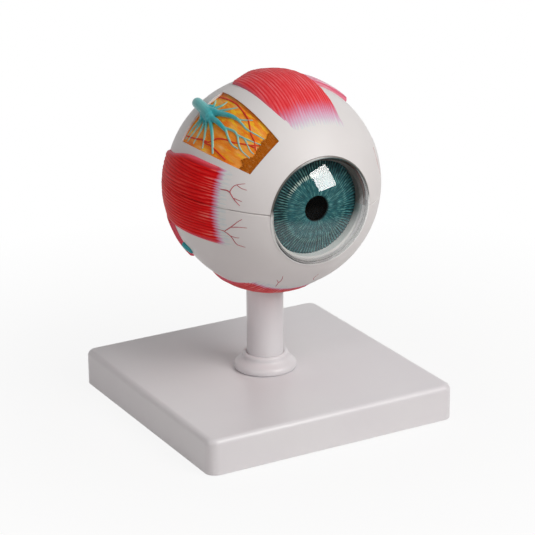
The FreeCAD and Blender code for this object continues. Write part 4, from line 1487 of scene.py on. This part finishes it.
def straight_and_mirrored(tree):
    """Whether a ray comes straight from the camera, and whether from a reflection or through glass."""
    path = put(tree, "LightPath").outputs
    return path["Is Camera Ray"], calc(tree, "MAXIMUM", path["Is Glossy Ray"], path["Is Transmission Ray"])


world = bpy.data.worlds.new("studio")
bpy.context.scene.world = world
tree = empty_tree(world)
backward, height = axes(tree, put(tree, "TexCoord").outputs["Generated"])[1:]
room = ramp(tree, spread(tree, height, -0.30, -0.22), [(0.0, WHITE), (1.0, DARK)], "EASE")
wall_below = spread(tree, height, 0.5, 0.8, 1.0, 0.0)
back_wall = calc(tree, "MULTIPLY", spread(tree, backward, 0.0, 0.5, 0.0, BACK_WALL), wall_below)
room = colour_mix(tree, back_wall, room, WHITE)
straight, mirrored = straight_and_mirrored(tree)
weak_fill = (WORLD_FILL, WORLD_FILL * 0.95, WORLD_FILL * 0.93, 1)
backdrop = colour_mix(tree, mirrored, weak_fill, room)
backdrop = colour_mix(tree, straight, backdrop, WHITE)
light = put(tree, "Background", {"Color": backdrop, "Strength": 1.0})
put(tree, "OutputWorld", {"Surface": light.outputs[0]})
print("world fill:", WORLD_FILL)

# %% Floor
FLOOR_HALF = 0.6
SHADOW_KEPT = 0.1
SHADOW_REACH = 0.34

floor_paint = bpy.data.materials.new("floor")
tree = empty_tree(floor_paint)
place = row_place(tree)
matt = put(tree, "BsdfDiffuse", {"Color": (0.72, 0.70, 0.69, 1)})
straight, mirrored = straight_and_mirrored(tree)
away = length_of(tree, place)
in_front = spread(tree, axes(tree, place)[1], -0.15, 0.0, 1.0, 0.0)
far_off = calc(tree, "MULTIPLY", in_front, spread(tree, away, 0.26, 0.42))
out_of_light = calc(tree, "MULTIPLY", mirrored, far_off)
glow = put(tree, "Emission", {"Color": colour_mix(tree, out_of_light, WHITE, DARK), "Strength": 1.0})
whiteness = spread(tree, away, 0.12, SHADOW_REACH, 1 - SHADOW_KEPT, 1.0)
shows = calc(tree, "MULTIPLY", calc(tree, "MAXIMUM", straight, mirrored), whiteness)
both = put(tree, "MixShader", {0: shows, 1: matt.outputs[0], 2: glow.outputs[0]})
put(tree, "OutputMaterial", {"Surface": both.outputs[0]})

corners = [(FLOOR_HALF * x, FLOOR_HALF * y, 0) for x, y in ((-1, -1), (1, -1), (1, 1), (-1, 1))]
floor_mesh = bpy.data.meshes.new("floor")
floor_mesh.from_pydata(corners, [], [(0, 1, 2, 3)])
floor_mesh.materials.append(floor_paint)
floor = add_object("floor", floor_mesh)
print("floor:", 2 * FLOOR_HALF, "m across")

bpy.context.scene.view_settings.view_transform = "Standard"
